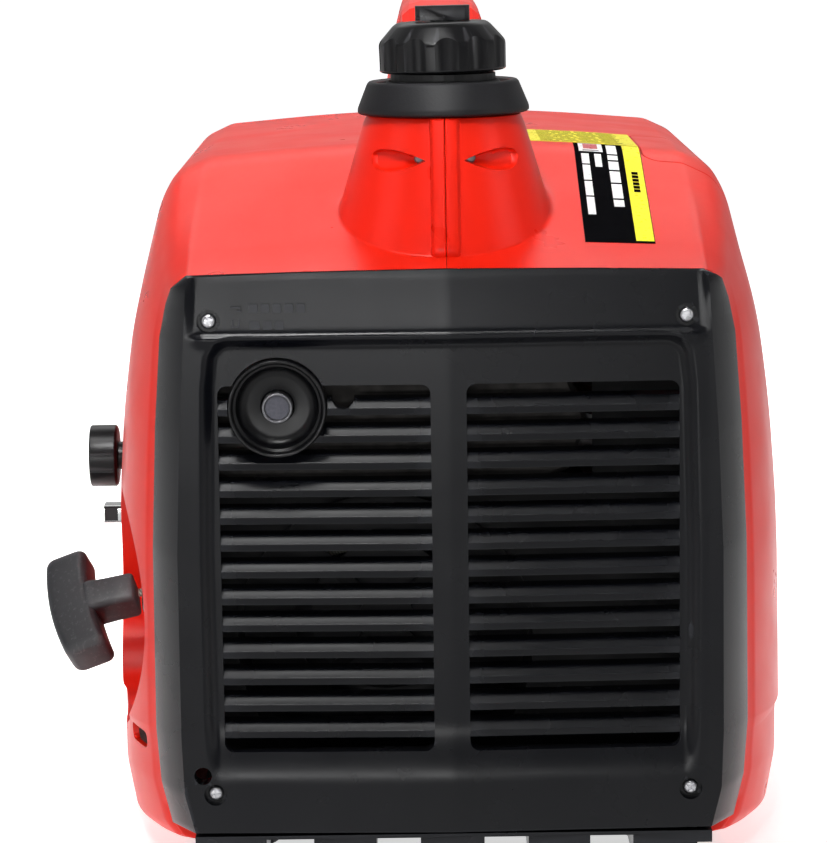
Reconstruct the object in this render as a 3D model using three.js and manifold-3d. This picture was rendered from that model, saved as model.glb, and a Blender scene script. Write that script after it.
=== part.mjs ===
// Suitcase-style inverter generator, about 2 kW.
// Millimetres, +Z up, ground at z = 0, exhaust end towards -Y, recoil starter on the -X side.
import * as THREE from 'three';
import { mergeVertices } from 'three/addons/utils/BufferGeometryUtils.js';
import Module from 'manifold-3d';

const wasm = await Module();
wasm.setup();

// ---------------------------------------------------------------- driving dimensions
const HALF_L = 250;          // both end panels' main faces at y = +-HALF_L
const BODY_W = 314;          // shell width at the flanks
const RIDGE = 4;             // the rear panel's face stands this much proud on its centre line
const SHIFT_X = 16.2;        // moves the whole generator so that its box is centred on x = 0
const WALL = 2.8;            // moulded shell wall
const SEAM = 0.15;           // half of the gap between the two shells
const CREST_REAR = 130;      // the rear slope ends this far behind the rear panel
const CREST_FRONT = 118;     // the front slope ends this far behind the front panel
const FILLER_Y = -184;       // filler tower axis
const TOWER_TOP = 342, TOWER_R = 35.5, TOWER_SLOPE = 0.298;
const CAP_R = 28.6, CAP_Z0 = 361, CAP_Z1 = 384;
const SLATS = 13, SLAT_PITCH = 12.3, SLAT_TOP = 217.3;
const WIN_X0 = 8, WIN_X1 = 103, WIN_Z0 = 59, WIN_Z1 = 226;
const OUTLET_X = -76.3, OUTLET_Z = 216.2, OUTLET_R = 22;
const POCKET_Y = -160, POCKET_Z = 112, POCKET_R = 58, POCKET_X = -128;
const ROPE_Y = -143, STEM_Z = 111.3;      // plane and height of the starter rope where it leaves the shell
const BULGE = 3.5;                        // the flanks go on widening towards the middle of the body
const CRANK_X = -30, CRANK_Z = 100;
const PULLEY_R = 32;         // rope radius on the pulley
const STEM_ROOT = new THREE.Vector3(-147.3, ROPE_Y, STEM_Z);
const PULL = new THREE.Vector3(-0.978, 0, -0.208).normalize();

// ---------------------------------------------------------------- geometry helpers
const V = (x, y, z) => new THREE.Vector3(x, y, z);

function clean(g) {
  const c = g.clone();
  for (const n of Object.keys(c.attributes)) if (n !== 'position') c.deleteAttribute(n);
  const m = mergeVertices(c, 1e-4);
  const src = m.index.array, keep = [];
  for (let i = 0; i < src.length; i += 3) {
    const [a, b, d] = [src[i], src[i + 1], src[i + 2]];
    if (a !== b && b !== d && a !== d) keep.push(a, b, d);
  }
  const p = m.attributes.position.array;
  let vol = 0;
  for (let i = 0; i < keep.length; i += 3) {
    const [a, b, d] = [keep[i] * 3, keep[i + 1] * 3, keep[i + 2] * 3];
    vol += p[a] * (p[b + 1] * p[d + 2] - p[b + 2] * p[d + 1])
         + p[a + 1] * (p[b + 2] * p[d] - p[b] * p[d + 2])
         + p[a + 2] * (p[b] * p[d + 1] - p[b + 1] * p[d]);
  }
  if (vol < 0) for (let i = 0; i < keep.length; i += 3) [keep[i], keep[i + 1]] = [keep[i + 1], keep[i]];
  m.setIndex(keep);
  return m;
}
function S(g) {
  if (!(g instanceof THREE.BufferGeometry)) return g;
  const m = clean(g);
  return new wasm.Manifold(new wasm.Mesh({
    numProp: 3,
    vertProperties: new Float32Array(m.attributes.position.array),
    triVerts: new Uint32Array(m.index.array),
  }));
}
const join = (...a) => a.map(S).reduce((p, q) => p.add(q));
const cut = (a, ...b) => b.map(S).reduce((p, q) => p.subtract(q), S(a));
const both = (a, b) => S(a).intersect(S(b));
function geometryOf(man) {
  if (man instanceof THREE.BufferGeometry) {
    const c = clean(man); c.computeVertexNormals(); return c;
  }
  const mesh = man.getMesh(), n = mesh.numProp, vp = mesh.vertProperties;
  const pos = new Float32Array((vp.length / n) * 3);
  for (let i = 0; i < vp.length / n; i++) for (let k = 0; k < 3; k++) pos[i * 3 + k] = vp[i * n + k];
  const g = new THREE.BufferGeometry();
  g.setAttribute('position', new THREE.BufferAttribute(pos, 3));
  g.setIndex(Array.from(mesh.triVerts));
  const c = clean(g);
  c.computeVertexNormals();
  return c;
}
function box(x0, x1, y0, y1, z0, z1) {
  return new THREE.BoxGeometry(x1 - x0, y1 - y0, z1 - z0).translate((x0 + x1) / 2, (y0 + y1) / 2, (z0 + z1) / 2);
}
function rrect(w, h, r, seg = 2) {       // rounded rectangle centred on 0,0
  const s = new THREE.Shape(), pts = [];
  for (const [cx, cy, a0] of [[w / 2 - r, h / 2 - r, 0], [-w / 2 + r, h / 2 - r, 90], [-w / 2 + r, -h / 2 + r, 180], [w / 2 - r, -h / 2 + r, 270]])
    for (let i = 0; i <= seg; i++) {
      const a = THREE.MathUtils.degToRad(a0 + 90 * i / seg);
      pts.push(new THREE.Vector2(cx + r * Math.cos(a), cy + r * Math.sin(a)));
    }
  s.setFromPoints(pts);
  return s;
}
const poly = (pts) => new THREE.Shape(pts.map(([a, b]) => new THREE.Vector2(a, b)));
function extrude(shape, depth, bevel = 0) {
  return new THREE.ExtrudeGeometry(shape, {
    depth: depth - 2 * bevel, bevelEnabled: bevel > 0, bevelThickness: bevel, bevelSize: bevel, bevelOffset: -bevel, bevelSegments: 1, curveSegments: 8,
  }).translate(0, 0, bevel);
}
const M4 = (ux, uy, uz, o) => new THREE.Matrix4().makeBasis(ux, uy, uz).setPosition(o);
// profile in (x, y), made solid from z0 to z1
const prismZ = (shape, z0, z1, bevel = 0) => extrude(shape, z1 - z0, bevel).translate(0, 0, z0);
// profile in (y, z), made solid from x0 to x1
const prismX = (shape, x0, x1, bevel = 0) => extrude(shape, x1 - x0, bevel).applyMatrix4(M4(V(0, 1, 0), V(0, 0, 1), V(1, 0, 0), V(x0, 0, 0)));
// profile in (x, z), made solid from y0 to y1
const prismY = (shape, y0, y1, bevel = 0) => extrude(shape, y1 - y0, bevel).applyMatrix4(M4(V(1, 0, 0), V(0, 0, 1), V(0, -1, 0), V(0, y1, 0)));
const rbox = (x0, x1, y0, y1, z0, z1, r = 4, bevel = 0) =>      // rounded when seen from above
  prismZ(rrect(x1 - x0, y1 - y0, r), z0, z1, bevel).translate((x0 + x1) / 2, (y0 + y1) / 2, 0);
const rboxY = (x0, x1, y0, y1, z0, z1, r = 4, bevel = 0) =>     // rounded when seen along Y
  prismY(rrect(x1 - x0, z1 - z0, r), y0, y1, bevel).translate((x0 + x1) / 2, 0, (z0 + z1) / 2);
const rboxX = (x0, x1, y0, y1, z0, z1, r = 4, bevel = 0) =>     // rounded when seen along X
  prismX(rrect(y1 - y0, z1 - z0, r), x0, x1, bevel).translate(0, (y0 + y1) / 2, (z0 + z1) / 2);
function turn(axis, pts, c = [0, 0, 0], seg = 24) {              // pts are [radius, position along the axis]
  const g = new THREE.LatheGeometry(pts.map(([r, a]) => new THREE.Vector2(r, a)), seg);
  if (axis === 'z') g.rotateX(Math.PI / 2);
  if (axis === 'x') g.rotateZ(-Math.PI / 2);
  return g.translate(...c);
}
const rod = (axis, a, b, r, c = [0, 0, 0], seg = 16) => turn(axis, [[0, a], [r, a], [r, b], [0, b]], c, seg);
const pipe = (axis, a, b, r1, r0, c = [0, 0, 0], seg = 24) => turn(axis, [[r0, a], [r1, a], [r1, b], [r0, b], [r0, a]], c, seg);
function tube(points, r, steps = 24, sides = 10) {
  const s = new THREE.Shape();
  s.setFromPoints(Array.from({ length: sides }, (_, i) => new THREE.Vector2(r * Math.cos(2 * Math.PI * i / sides), r * Math.sin(2 * Math.PI * i / sides))));
  return new THREE.ExtrudeGeometry(s, { steps, bevelEnabled: false, extrudePath: new THREE.CatmullRomCurve3(points.map((p) => V(...p)), false, 'centripetal') });
}
function warp(g, fn) {
  const c = clean(g), p = c.attributes.position;
  for (let i = 0; i < p.count; i++) { const q = V(p.getX(i), p.getY(i), p.getZ(i)); fn(q); p.setXYZ(i, q.x, q.y, q.z); }
  return c;
}
// rings: closed rings in the order right flank up, roof, left flank down; c0, c1 close the ends
function loft(rings, c0, c1) {
  const n = rings[0].length, pos = [], idx = [];
  for (const r of rings) for (const p of r) pos.push(p.x, p.y, p.z);
  const at = (s, k) => s * n + (k % n);
  for (let s = 0; s < rings.length - 1; s++) for (let k = 0; k < n; k++)
    idx.push(at(s, k), at(s + 1, k), at(s + 1, k + 1), at(s, k), at(s + 1, k + 1), at(s, k + 1));
  const a = pos.length / 3; pos.push(c0.x, c0.y, c0.z);
  const b = pos.length / 3; pos.push(c1.x, c1.y, c1.z);
  for (let k = 0; k < n; k++) {
    idx.push(a, at(0, k), at(0, k + 1));
    idx.push(b, at(rings.length - 1, k + 1), at(rings.length - 1, k));
  }
  const g = new THREE.BufferGeometry();
  g.setAttribute('position', new THREE.BufferAttribute(new Float32Array(pos), 3));
  g.setIndex(idx);
  return g;
}
function wallBetween(outer, inner) {     // closed thin wall between two grids [station][index]
  const m = outer.length, n = outer[0].length, pos = [], idx = [];
  for (const g of [outer, inner]) for (const row of g) for (const p of row) pos.push(p.x, p.y, p.z);
  const o = (s, k) => s * n + k, i = (s, k) => (m + s) * n + k;
  const quad = (a, b, c, d) => idx.push(a, b, c, a, c, d);
  for (let s = 0; s < m - 1; s++) for (let k = 0; k < n - 1; k++) {
    quad(o(s, k), o(s + 1, k), o(s + 1, k + 1), o(s, k + 1));
    quad(i(s, k), i(s, k + 1), i(s + 1, k + 1), i(s + 1, k));
  }
  for (let k = 0; k < n - 1; k++) {
    quad(o(0, k), o(0, k + 1), i(0, k + 1), i(0, k));
    quad(o(m - 1, k), i(m - 1, k), i(m - 1, k + 1), o(m - 1, k + 1));
  }
  for (let s = 0; s < m - 1; s++) {
    quad(o(s + 1, 0), o(s, 0), i(s, 0), i(s + 1, 0));
    quad(o(s, n - 1), o(s + 1, n - 1), i(s + 1, n - 1), i(s, n - 1));
  }
  const g = new THREE.BufferGeometry();
  g.setAttribute('position', new THREE.BufferAttribute(new Float32Array(pos), 3));
  g.setIndex(idx);
  return g;
}
const mirrorX = (g) => warp(g, (q) => { q.x = -q.x; });

// ---------------------------------------------------------------- shell surface
// Half section of the body, from the bottom lip up the flank to the roof centre.
const FULL = [[127, 9], [144.5, 9.2], [151, 12.8], [155.2, 37], [155.2, 44.5], [155.2, 50], [155.2, 56], [155.4, 61], [157, 63],
  [156, 150], [152, 205], [146, 250], [135, 299], [128, 311], [113, 318], [62, 322.4], [SEAM, 325]];
// Half outline of an end panel: x, z and how far behind the panel's face the shell's rim lies.
const RIM = [[119, 12, 24], [124.5, 13.5, 24], [129, 21, 23], [133.6, 41, 22], [133.9, 44.7, 22], [134.1, 49, 22], [134.5, 54.5, 22], [134.8, 59.5, 22], [135.4, 66, 22],
  [134.8, 150, 22], [132.4, 205, 22], [129.4, 246, 21.5], [126, 261.5, 18], [122.4, 271, 11], [115.6, 275.8, 4], [62, 277.2, 3], [SEAM, 278, 3]];
const NK = FULL.length;
const ridge = (x) => RIDGE * Math.max(0, 1 - Math.abs(x) / 116);
const smoothmin = (t, w = 0.1) => (t < 1 - w ? t : t > 1 + w ? 1 : t - ((t - 1 + w) ** 2) / (4 * w));
function halfPoint(k, d, crest) {        // d: distance behind the end panel's face
  const [rx, rz, rd] = RIM[k], [fx, fz] = FULL[k];
  const s = THREE.MathUtils.clamp((d - rd) / (100 - rd), 0, 1);
  const flare = 1 - (1 - s) ** 2.1;
  const b = THREE.MathUtils.clamp((d - (crest > 125 ? 100 : 88)) / 42, 0, 1), bulge = k >= 3 && k <= 11 ? BULGE * b * b * (3 - 2 * b) * (k === 11 ? 0.5 : 1) : 0;
  const slope = smoothmin(Math.max(0, d - rd) / (crest - rd));
  const roof = k >= 12 ? 1 : k >= 11 ? 0.45 : 0;
  const x = rx + (fx - rx) * (k >= 14 ? slope : flare) + bulge;
  const z = rz + (fz - rz) * (roof * slope + (1 - roof) * flare);
  return [x, z];
}
const REAR_D = [32, 46, 68, 100, 118, 130, 142];
const FRONT_D = [130, 118, 100, 68, 46, 32];
function halfGrid(inset, rearRim = 0.9, frontRim = 0.9) {
  const rows = [];
  const rear = [], front = [];
  for (let k = 0; k < NK; k++) {
    const [x, z, d0] = RIM[k], d = d0 + (k >= 12 && k <= 14 ? 0.6 : 0);
    rear.push(V(x, -HALF_L - ridge(x) + d + rearRim, z));
    front.push(V(x, HALF_L - d - frontRim, z));
  }
  rows.push(rear);
  for (const d of REAR_D) rows.push(FULL.map((_, k) => { const [x, z] = halfPoint(k, d, CREST_REAR); return V(x, -HALF_L + d, z); }));
  for (const d of FRONT_D) rows.push(FULL.map((_, k) => { const [x, z] = halfPoint(k, d, CREST_FRONT); return V(x, HALF_L - d, z); }));
  rows.push(front);
  for (const r of rows) { r[NK - 1].x = SEAM; }
  if (!inset) return rows;
  return rows.map((row) => row.map((p, k) => {           // inset in the section plane
    const a = row[Math.max(0, k - 1)], b = row[Math.min(NK - 1, k + 1)];
    let n1 = V(b.z - p.z, 0, -(b.x - p.x)), n0 = V(p.z - a.z, 0, -(p.x - a.x));
    if (n1.length() < 1e-6) n1 = n0.clone(); if (n0.length() < 1e-6) n0 = n1.clone();
    n0.normalize(); n1.normalize();
    const n = n0.clone().add(n1).normalize();
    const q = p.clone().addScaledVector(n, -inset / Math.max(0.75, n.dot(n1)));
    if (k === NK - 1) q.x = SEAM;
    return q;
  }));
}
function fullRings(half) {
  return half.map((row) => [...row.map((p) => V(p.x, p.y, p.z)), ...row.slice().reverse().map((p) => V(-p.x, p.y, p.z))]);
}
function fullSolid(inset) {
  const r = fullRings(halfGrid(inset));
  return S(loft(r, V(0, -HALF_L + 10, 150), V(0, HALF_L - 10, 150)));
}
const bodyOuter = fullSolid(0);
const rightWall = S(wallBetween(halfGrid(0), halfGrid(WALL)));
const leftWall = S(mirrorX(wallBetween(halfGrid(0), halfGrid(WALL))));

// ---------------------------------------------------------------- filler tower on the shells
const towerR = (z) => TOWER_R + TOWER_SLOPE * (TOWER_TOP - z);
const slopeZ = (y) => 278 + (325 - 278) * smoothmin((y + HALF_L - 3) / (CREST_REAR - 3));
const towerCone = turn('z', [[0, 262], [towerR(262), 262], [TOWER_R, TOWER_TOP], [0, TOWER_TOP]], [0, FILLER_Y, 0], 28);
const towerBore = turn('z', [[0, 255], [towerR(255) - 6.4, 255], [TOWER_R - 6.2, TOWER_TOP + 1], [0, TOWER_TOP + 1]], [0, FILLER_Y, 0], 28);
// everything more than 7 mm below the roof line
const underRoof = (drop) => prismX(poly([[-300, 200], [-300, slopeZ(-247) - drop - 19], [-247, slopeZ(-247) - drop], [-210, slopeZ(-210) - drop], [-134, slopeZ(-134) - drop], [-118, 325 - drop], [-60, 325 - drop], [-60, 200]]), -90, 90);
const towerSkin = cut(both(towerCone, box(-80, 80, -245.5, -100, 262, 345)), towerBore, underRoof(5));
function rib(x0, x1) {
  return prismX(poly([[-217, TOWER_TOP], [FILLER_Y - TOWER_R - 2.6, TOWER_TOP], [-240.5, 282.2], [-238, 279.8], [-226, 281], [-222, 300]]), x0, x1, 0.6);
}
function ribBack(x0, x1) {
  return prismX(poly([[-151, TOWER_TOP], [FILLER_Y + TOWER_R + 2.6, TOWER_TOP], [-139.5, 322], [-146, 318]]), x0, x1, 0.6);
}
function teardrop(sgn) {
  const pts = [];
  for (let i = 0; i <= 8; i++) { const a = -Math.PI / 2 + Math.PI * i / 8; pts.push([sgn * (26.5 + 5.5 * Math.cos(a)), 323.4 + 6 * Math.sin(a)]); }
  pts.push([sgn * 9, 323.4]);
  return prismY(poly(sgn > 0 ? pts : pts.reverse()), -240, -210.5);
}
const half = (sgn) => box(sgn > 0 ? SEAM : -200, sgn > 0 ? 200 : -SEAM, -300, 300, -10, 420);
// pocket in the left flank round the starter grip
const pocketHole = rod('x', -175, POCKET_X, POCKET_R, [0, POCKET_Y, POCKET_Z], 24);
const pocketWall = both(cut(rod('x', -175, POCKET_X + WALL, POCKET_R + WALL, [0, POCKET_Y, POCKET_Z], 24), pocketHole,
  rod('x', -180, -100, 7.2, [0, ROPE_Y, STEM_Z], 16)), bodyOuter);
const sideOpening = (g) => rboxX(130, 175, -52 - g, 88 + g, 66 - g, 196 + g, 8);
const plugOpening = (g) => rbox(95 - g, 175, -133 - g, -30 + g, 262, 345, 2);
const knobHole = rod('x', -175, -130, 7.5, [0, -105, 172], 20);
const chokeSlot = rboxX(-175, -130, -98, -66, 135.8, 143.2, 3);
const flankSlot = rboxX(-175, -136, -216, -194, 53, 61, 3);
const sideLouvres = [0, 1, 2].map((i) => box(130, 175, 120 + i * 13, 127 + i * 13, 96, 186));
const leftLouvres = [0, 1, 2, 3].map((i) => box(-175, -130, 34 + i * 15, 42 + i * 15, 84, 190));

let rightShell = join(rightWall, both(towerSkin, half(1)), rib(SEAM, 7), ribBack(SEAM, 7));
rightShell = cut(rightShell, towerBore, teardrop(1), sideOpening(0.35), plugOpening(0.35), ...sideLouvres);
let leftShell = join(cut(leftWall, pocketHole), pocketWall, both(towerSkin, half(-1)), rib(-7, -SEAM), ribBack(-7, -SEAM));
leftShell = cut(leftShell, towerBore, teardrop(-1), knobHole, chokeSlot, flankSlot, ...leftLouvres);
const sideCover = both(cut(rightWall), sideOpening(0));
const plugCover = both(cut(rightWall), plugOpening(0));

// ---------------------------------------------------------------- end panels
const PANEL_K = [2, 3, 8, 9, 10, 11, 12, 13, 14, 15, 16];     // outline points of a panel
function panelSolid(face, proudRim, yOf, ridgeOn) {
  // face: front outline; RIM: widest outline; then a flange that slips inside the shells
  const rd = (x) => (ridgeOn ? ridge(x) : 0);
  const front = [], out = [], step = [], back = [];
  for (const k of PANEL_K) {
    const [x, z, d] = RIM[k];
    const ix = Math.max(0, x - (k === 3 || k === 8 ? 7.8 : 5.2)), iz = k >= 12 ? z - 5.2 : k === 11 ? z - 1.5 : z;
    const fx = k === NK - 1 ? 0 : face[k][0], fz = face[k][1];
    front.push(V(fx, yOf(-rd(fx)), fz));
    out.push(V(k === NK - 1 ? 0 : x, yOf(d - rd(x)), z));
    step.push(V(k === NK - 1 ? 0 : ix, yOf(d - rd(x)), iz));
    back.push(V(k === NK - 1 ? 0 : ix, yOf(Math.max(d, 22) + 12), iz));
  }
  const close = (row, zb) => [V(0, row[0].y - (ridgeOn ? 0 : 0), zb), ...row, ...row.slice(0, -1).reverse().map((p) => V(-p.x, p.y, p.z))];
  const rings = [close(front, face[2][1]), close(out, RIM[2][1]), close(step, RIM[2][1]), close(back, RIM[2][1])];
  rings[0][0].y = yOf(ridgeOn ? -RIDGE : 0);
  return rings;
}
// front outline of a panel, index by index with RIM
const FACE = RIM.map(([x, z]) => [x, z]);
[[2, 117, 22], [3, 121.5, 40], [8, 122.4, 66], [9, 122.2, 150], [10, 120, 205],
  [11, 117.4, 245], [12, 116.6, 259], [13, 115.8, 270], [14, 114.8, 275], [15, 62, 276.8], [16, 0, 277.6]].forEach(([k, x, z]) => { FACE[k] = [x, z]; });
const rearRings = panelSolid(FACE, 0, (d) => -HALF_L + d, true);
const rearOuter = S(loft(rearRings, V(0, -HALF_L - RIDGE, 150), V(0, -HALF_L + 34, 150)));
const frontRings = panelSolid(FACE, 0, (d) => HALF_L - d, false);
const frontOuter = S(loft(frontRings.map((r) => r), V(0, HALF_L, 150), V(0, HALF_L - 34, 150)));
const vee = (g) => warp(g, (q) => { q.y -= ridge(q.x); });
function splitX(g) { // puts an edge loop on x = 0 so that the ridge stays sharp
  return join(both(g, box(-200, 0, -400, 400, -50, 400)), both(g, box(0, 200, -400, 400, -50, 400)));
}
function recessSolid() {
  const right = (o) => o.map(([x, z]) => V(x, 0, z));
  const A = [[0, 50], [104, 50], [110, 56], [112, 70], [112.4, 150], [110, 225], [107, 250], [0, 250]];
  const B = [[0, 57], [99, 57], [104, 61], [105, 72], [105.4, 150], [104.4, 222], [103.4, 242], [0, 242]];
  const ring = (o, d) => {
    const r = right(o).map((p) => V(p.x, -HALF_L + d - ridge(p.x), p.z));
    return [...r, ...r.slice(1, -1).reverse().map((p) => V(-p.x, p.y, p.z))];
  };
  return S(loft([ring(A, -14), ring(A, 0), ring(B, 5), ring(B, 5.1)], V(0, -HALF_L - 14 - RIDGE, 150), V(0, -HALF_L + 5.1 - RIDGE, 150)));
}
function panelCavity(y0, y1) { // hollow behind the front wall
  const pts = [];
  for (const k of PANEL_K) { const [x, z] = RIM[k]; pts.push([k === NK - 1 ? 0 : x - (k === 3 || k === 8 ? 10.6 : 7.6), k >= 12 ? z - 7.6 : k === 11 ? z - 3 : Math.max(z, 25)]); }
  const ring = [...pts, ...pts.slice(0, -1).reverse().map(([x, z]) => [-x, z])];
  return prismY(poly(ring), y0, y1);
}
function slat(x0, x1, zt) {
  return warp(prismX(poly([[-HALF_L + 5.2, zt - 4], [-HALF_L + 5.2, zt], [-HALF_L + 15, zt + 3], [-HALF_L + 15, zt - 1]]), x0, x1), (q) => { q.y -= ridge(q.x); });
}
let rearPanel = cut(rearOuter, recessSolid(), panelCavity(-HALF_L + 9, -100));
for (const sgn of [-1, 1]) {
  const [a, b] = sgn > 0 ? [WIN_X0, WIN_X1] : [-WIN_X1, -WIN_X0];
  rearPanel = cut(rearPanel, rboxY(a, b, -300, -215, WIN_Z0, WIN_Z1, 3));
}
for (const sgn of [-1, 1]) {
  const [a, b] = sgn > 0 ? [WIN_X0 - 2, WIN_X1 + 2] : [-WIN_X1 - 2, -WIN_X0 + 2];
  const bars = [];
  for (let i = 0; i < SLATS; i++) bars.push(slat(a, b, SLAT_TOP - SLAT_PITCH * i));
  rearPanel = join(rearPanel, ...bars);
}
const REAR_SCREWS = [[-106, 255.5], [106, 255.5], [-107.5, 40], [107.5, 40]];
for (const [x, z] of REAR_SCREWS) rearPanel = cut(rearPanel, rod('y', -262, -HALF_L + 3.2, 5.4, [x, 0, z], 18), rod('y', -262, -200, 2.6, [x, 0, z], 12));
rearPanel = cut(rearPanel, rod('y', -262, -200, OUTLET_R + 0.5, [OUTLET_X, 0, OUTLET_Z], 36), rod('y', -262, -200, 5, [-47, 0, 220], 16));
rearPanel = cut(rearPanel, rod('y', -262, -236, 4, [-113, 0, 48.6], 12), rod('x', -175, -120, POCKET_R + WALL + 0.8, [0, POCKET_Y, POCKET_Z], 24));
const rearScrew = (x, z) => turn('y', [[0, -HALF_L + 0.6 - ridge(x)], [4.2, -HALF_L + 0.9 - ridge(x)], [4.4, -HALF_L + 3.0], [2.0, -HALF_L + 3.0], [2.0, -HALF_L + 18], [0, -HALF_L + 20]], [x, 0, z], 10);

let frontPanel = cut(frontOuter, panelCavity(100, HALF_L - 4), rboxY(-96, 96, HALF_L - 3, HALF_L + 3, 118, 262, 8),
  rboxY(-90, 90, HALF_L - 6, HALF_L + 3, 124, 256, 6), rboxY(-84, 84, HALF_L - 40, HALF_L + 3, 131, 249, 6));
for (let i = 0; i < 6; i++) frontPanel = cut(frontPanel, box(-92, 92, HALF_L - 20, HALF_L + 3, 38 + i * 12.5, 44.5 + i * 12.5));
for (const [x, z] of REAR_SCREWS) frontPanel = cut(frontPanel, rod('y', HALF_L - 3.2, 262, 5.4, [x, 0, z], 18), rod('y', 200, 262, 2.6, [x, 0, z], 12));

// ---------------------------------------------------------------- nodes
const group = new THREE.Group();
group.position.x = SHIFT_X;
function node(name, shape, color, roughness, metalness) {
  const mesh = new THREE.Mesh(geometryOf(shape), new THREE.MeshStandardMaterial({ color, roughness, metalness }));
  mesh.name = name;
  group.add(mesh);
  return mesh;
}
const RED = 0xd8301c, BLACK = 0x26272b, DARK = 0x1d1c20, RUBBER = 0x2c2d30, STEEL = 0xa9abad, ALU = 0xb9bbbd, PLATE = 0x35383d, GREY = 0x55585c, BRASS = 0xb08d45, COPPER = 0xa5602f, WHITE = 0xd9d9d6;

node('left_shell', leftShell, RED, 0.32, 0);
node('right_shell', rightShell, RED, 0.32, 0);
node('side_cover', sideCover, RED, 0.32, 0);
node('plug_cover', plugCover, RED, 0.32, 0);
node('rear_panel', rearPanel, BLACK, 0.45, 0);
node('front_panel', frontPanel, BLACK, 0.45, 0);
REAR_SCREWS.forEach(([x, z], i) => node(`rear_screw_${i + 1}`, rearScrew(x, z), 0x3a3b3d, 0.35, 0.9));

// base tray: floor, low walls and five lugs at each end
{
  let tray = S(prismZ(poly([[-117.4, -247.5], [117.4, -247.5], [117.4, -228], [125.4, -152], [125.4, 152], [117.4, 228], [117.4, 247.5], [-117.4, 247.5], [-117.4, 228], [-125.4, 152], [-125.4, -152], [-117.4, -228]]), 14, 19.5));
  const wall = cut(rbox(-118, 118, -226, 226, 19, 34, 6), rbox(-115, 115, -210, 210, 18, 50, 5));
  tray = join(tray, both(wall, box(-118, 118, -213, 213, 19, 34)));
  for (const [a, b] of [[-113, -85], [-63.5, -35], [-15, 14], [34, 62], [81.5, 110.7]])
    for (const [y0, y1] of [[-247, -205], [205, 247]]) tray = join(tray, box(a, b, y0, y1, 6, 15));
  for (const [a, b] of [[-85, -63.5], [-35, -15], [14, 34], [62, 81.5]]) tray = cut(tray, box(a, b, -250, -214, 5, 17.8), box(a, b, 214, 250, 5, 17.8));
  for (const y of [-75, 5]) tray = join(tray, box(-70, 50, y - 8, y + 8, 18, 33.5));
  for (const y of [-60, -20, 20, 60, 100, 140]) tray = cut(tray, box(-40, 40, y - 3, y + 3, 5, 40));
  tray = join(tray, ...[-75, 5].map((y) => box(-70, 50, y - 8, y + 8, 18, 33.5)));
  node('base_tray', tray, BLACK, 0.55, 0);
}
[[-96, -186], [96, -186], [-96, 186], [96, 186]].forEach(([x, y], i) => node(`foot_${i + 1}`,
  turn('z', [[0, 0], [13, 0], [15, 1.5], [13.4, 13.7], [0, 13.7]], [x, y, 0], 14), RUBBER, 0.85, 0));

// carry handle bridging over the roof
{
  const st = [ // y, half width at foot, half width at top, underside, top
    [-126, 24, 12, 325.6, 338], [-121, 28, 17, 325.6, 362], [-112, 30, 19.6, 325.6, 380], [-98, 30, 20, 325.6, 388], [-84, 29, 20, 325.6, 390],
    [-80, 24, 20, 340, 390], [-70, 21.5, 20, 352, 390.3], [-56, 20, 20, 358, 390.5], [0, 20, 20, 359.5, 390.6], [66, 20, 20, 358, 390.4], [80, 21.5, 20, 352, 390],
    [90, 24, 20, 340, 389.6], [94, 29, 20, 325.6, 389], [114, 30, 19.6, 325.6, 380], [123, 28, 17, 325.6, 360], [128, 24, 12, 325.6, 338]];
  const ring = ([y, wf, wt, zb, zt]) => {
    const zc = Math.min(zt - 14, Math.max(zb + 6, 358)), r = [];
    const right = [[wf * 0.5, zb], [wf - 1.5, zb], [wf, zb + 1.5], [zb > 330 ? wf : (wf + wt) / 2 + 1, zb > 330 ? (zb + zt) / 2 : zb + (zt - zb) * 0.45], [wt, zb > 330 ? zt - 9 : zt - (zt - zb) * 0.25], [wt - 1.5, zt - 4.5], [wt - 5, zt - 1.4], [wt * 0.45, zt]];
    for (const [x, z] of right) r.push(V(x, y, z));
    for (const [x, z] of right.slice().reverse()) r.push(V(-x, y, z));
    return r;
  };
  node('carry_handle', loft(st.map(ring), V(0, -126, 332), V(0, 128, 332)), RED, 0.34, 0);
}

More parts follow.
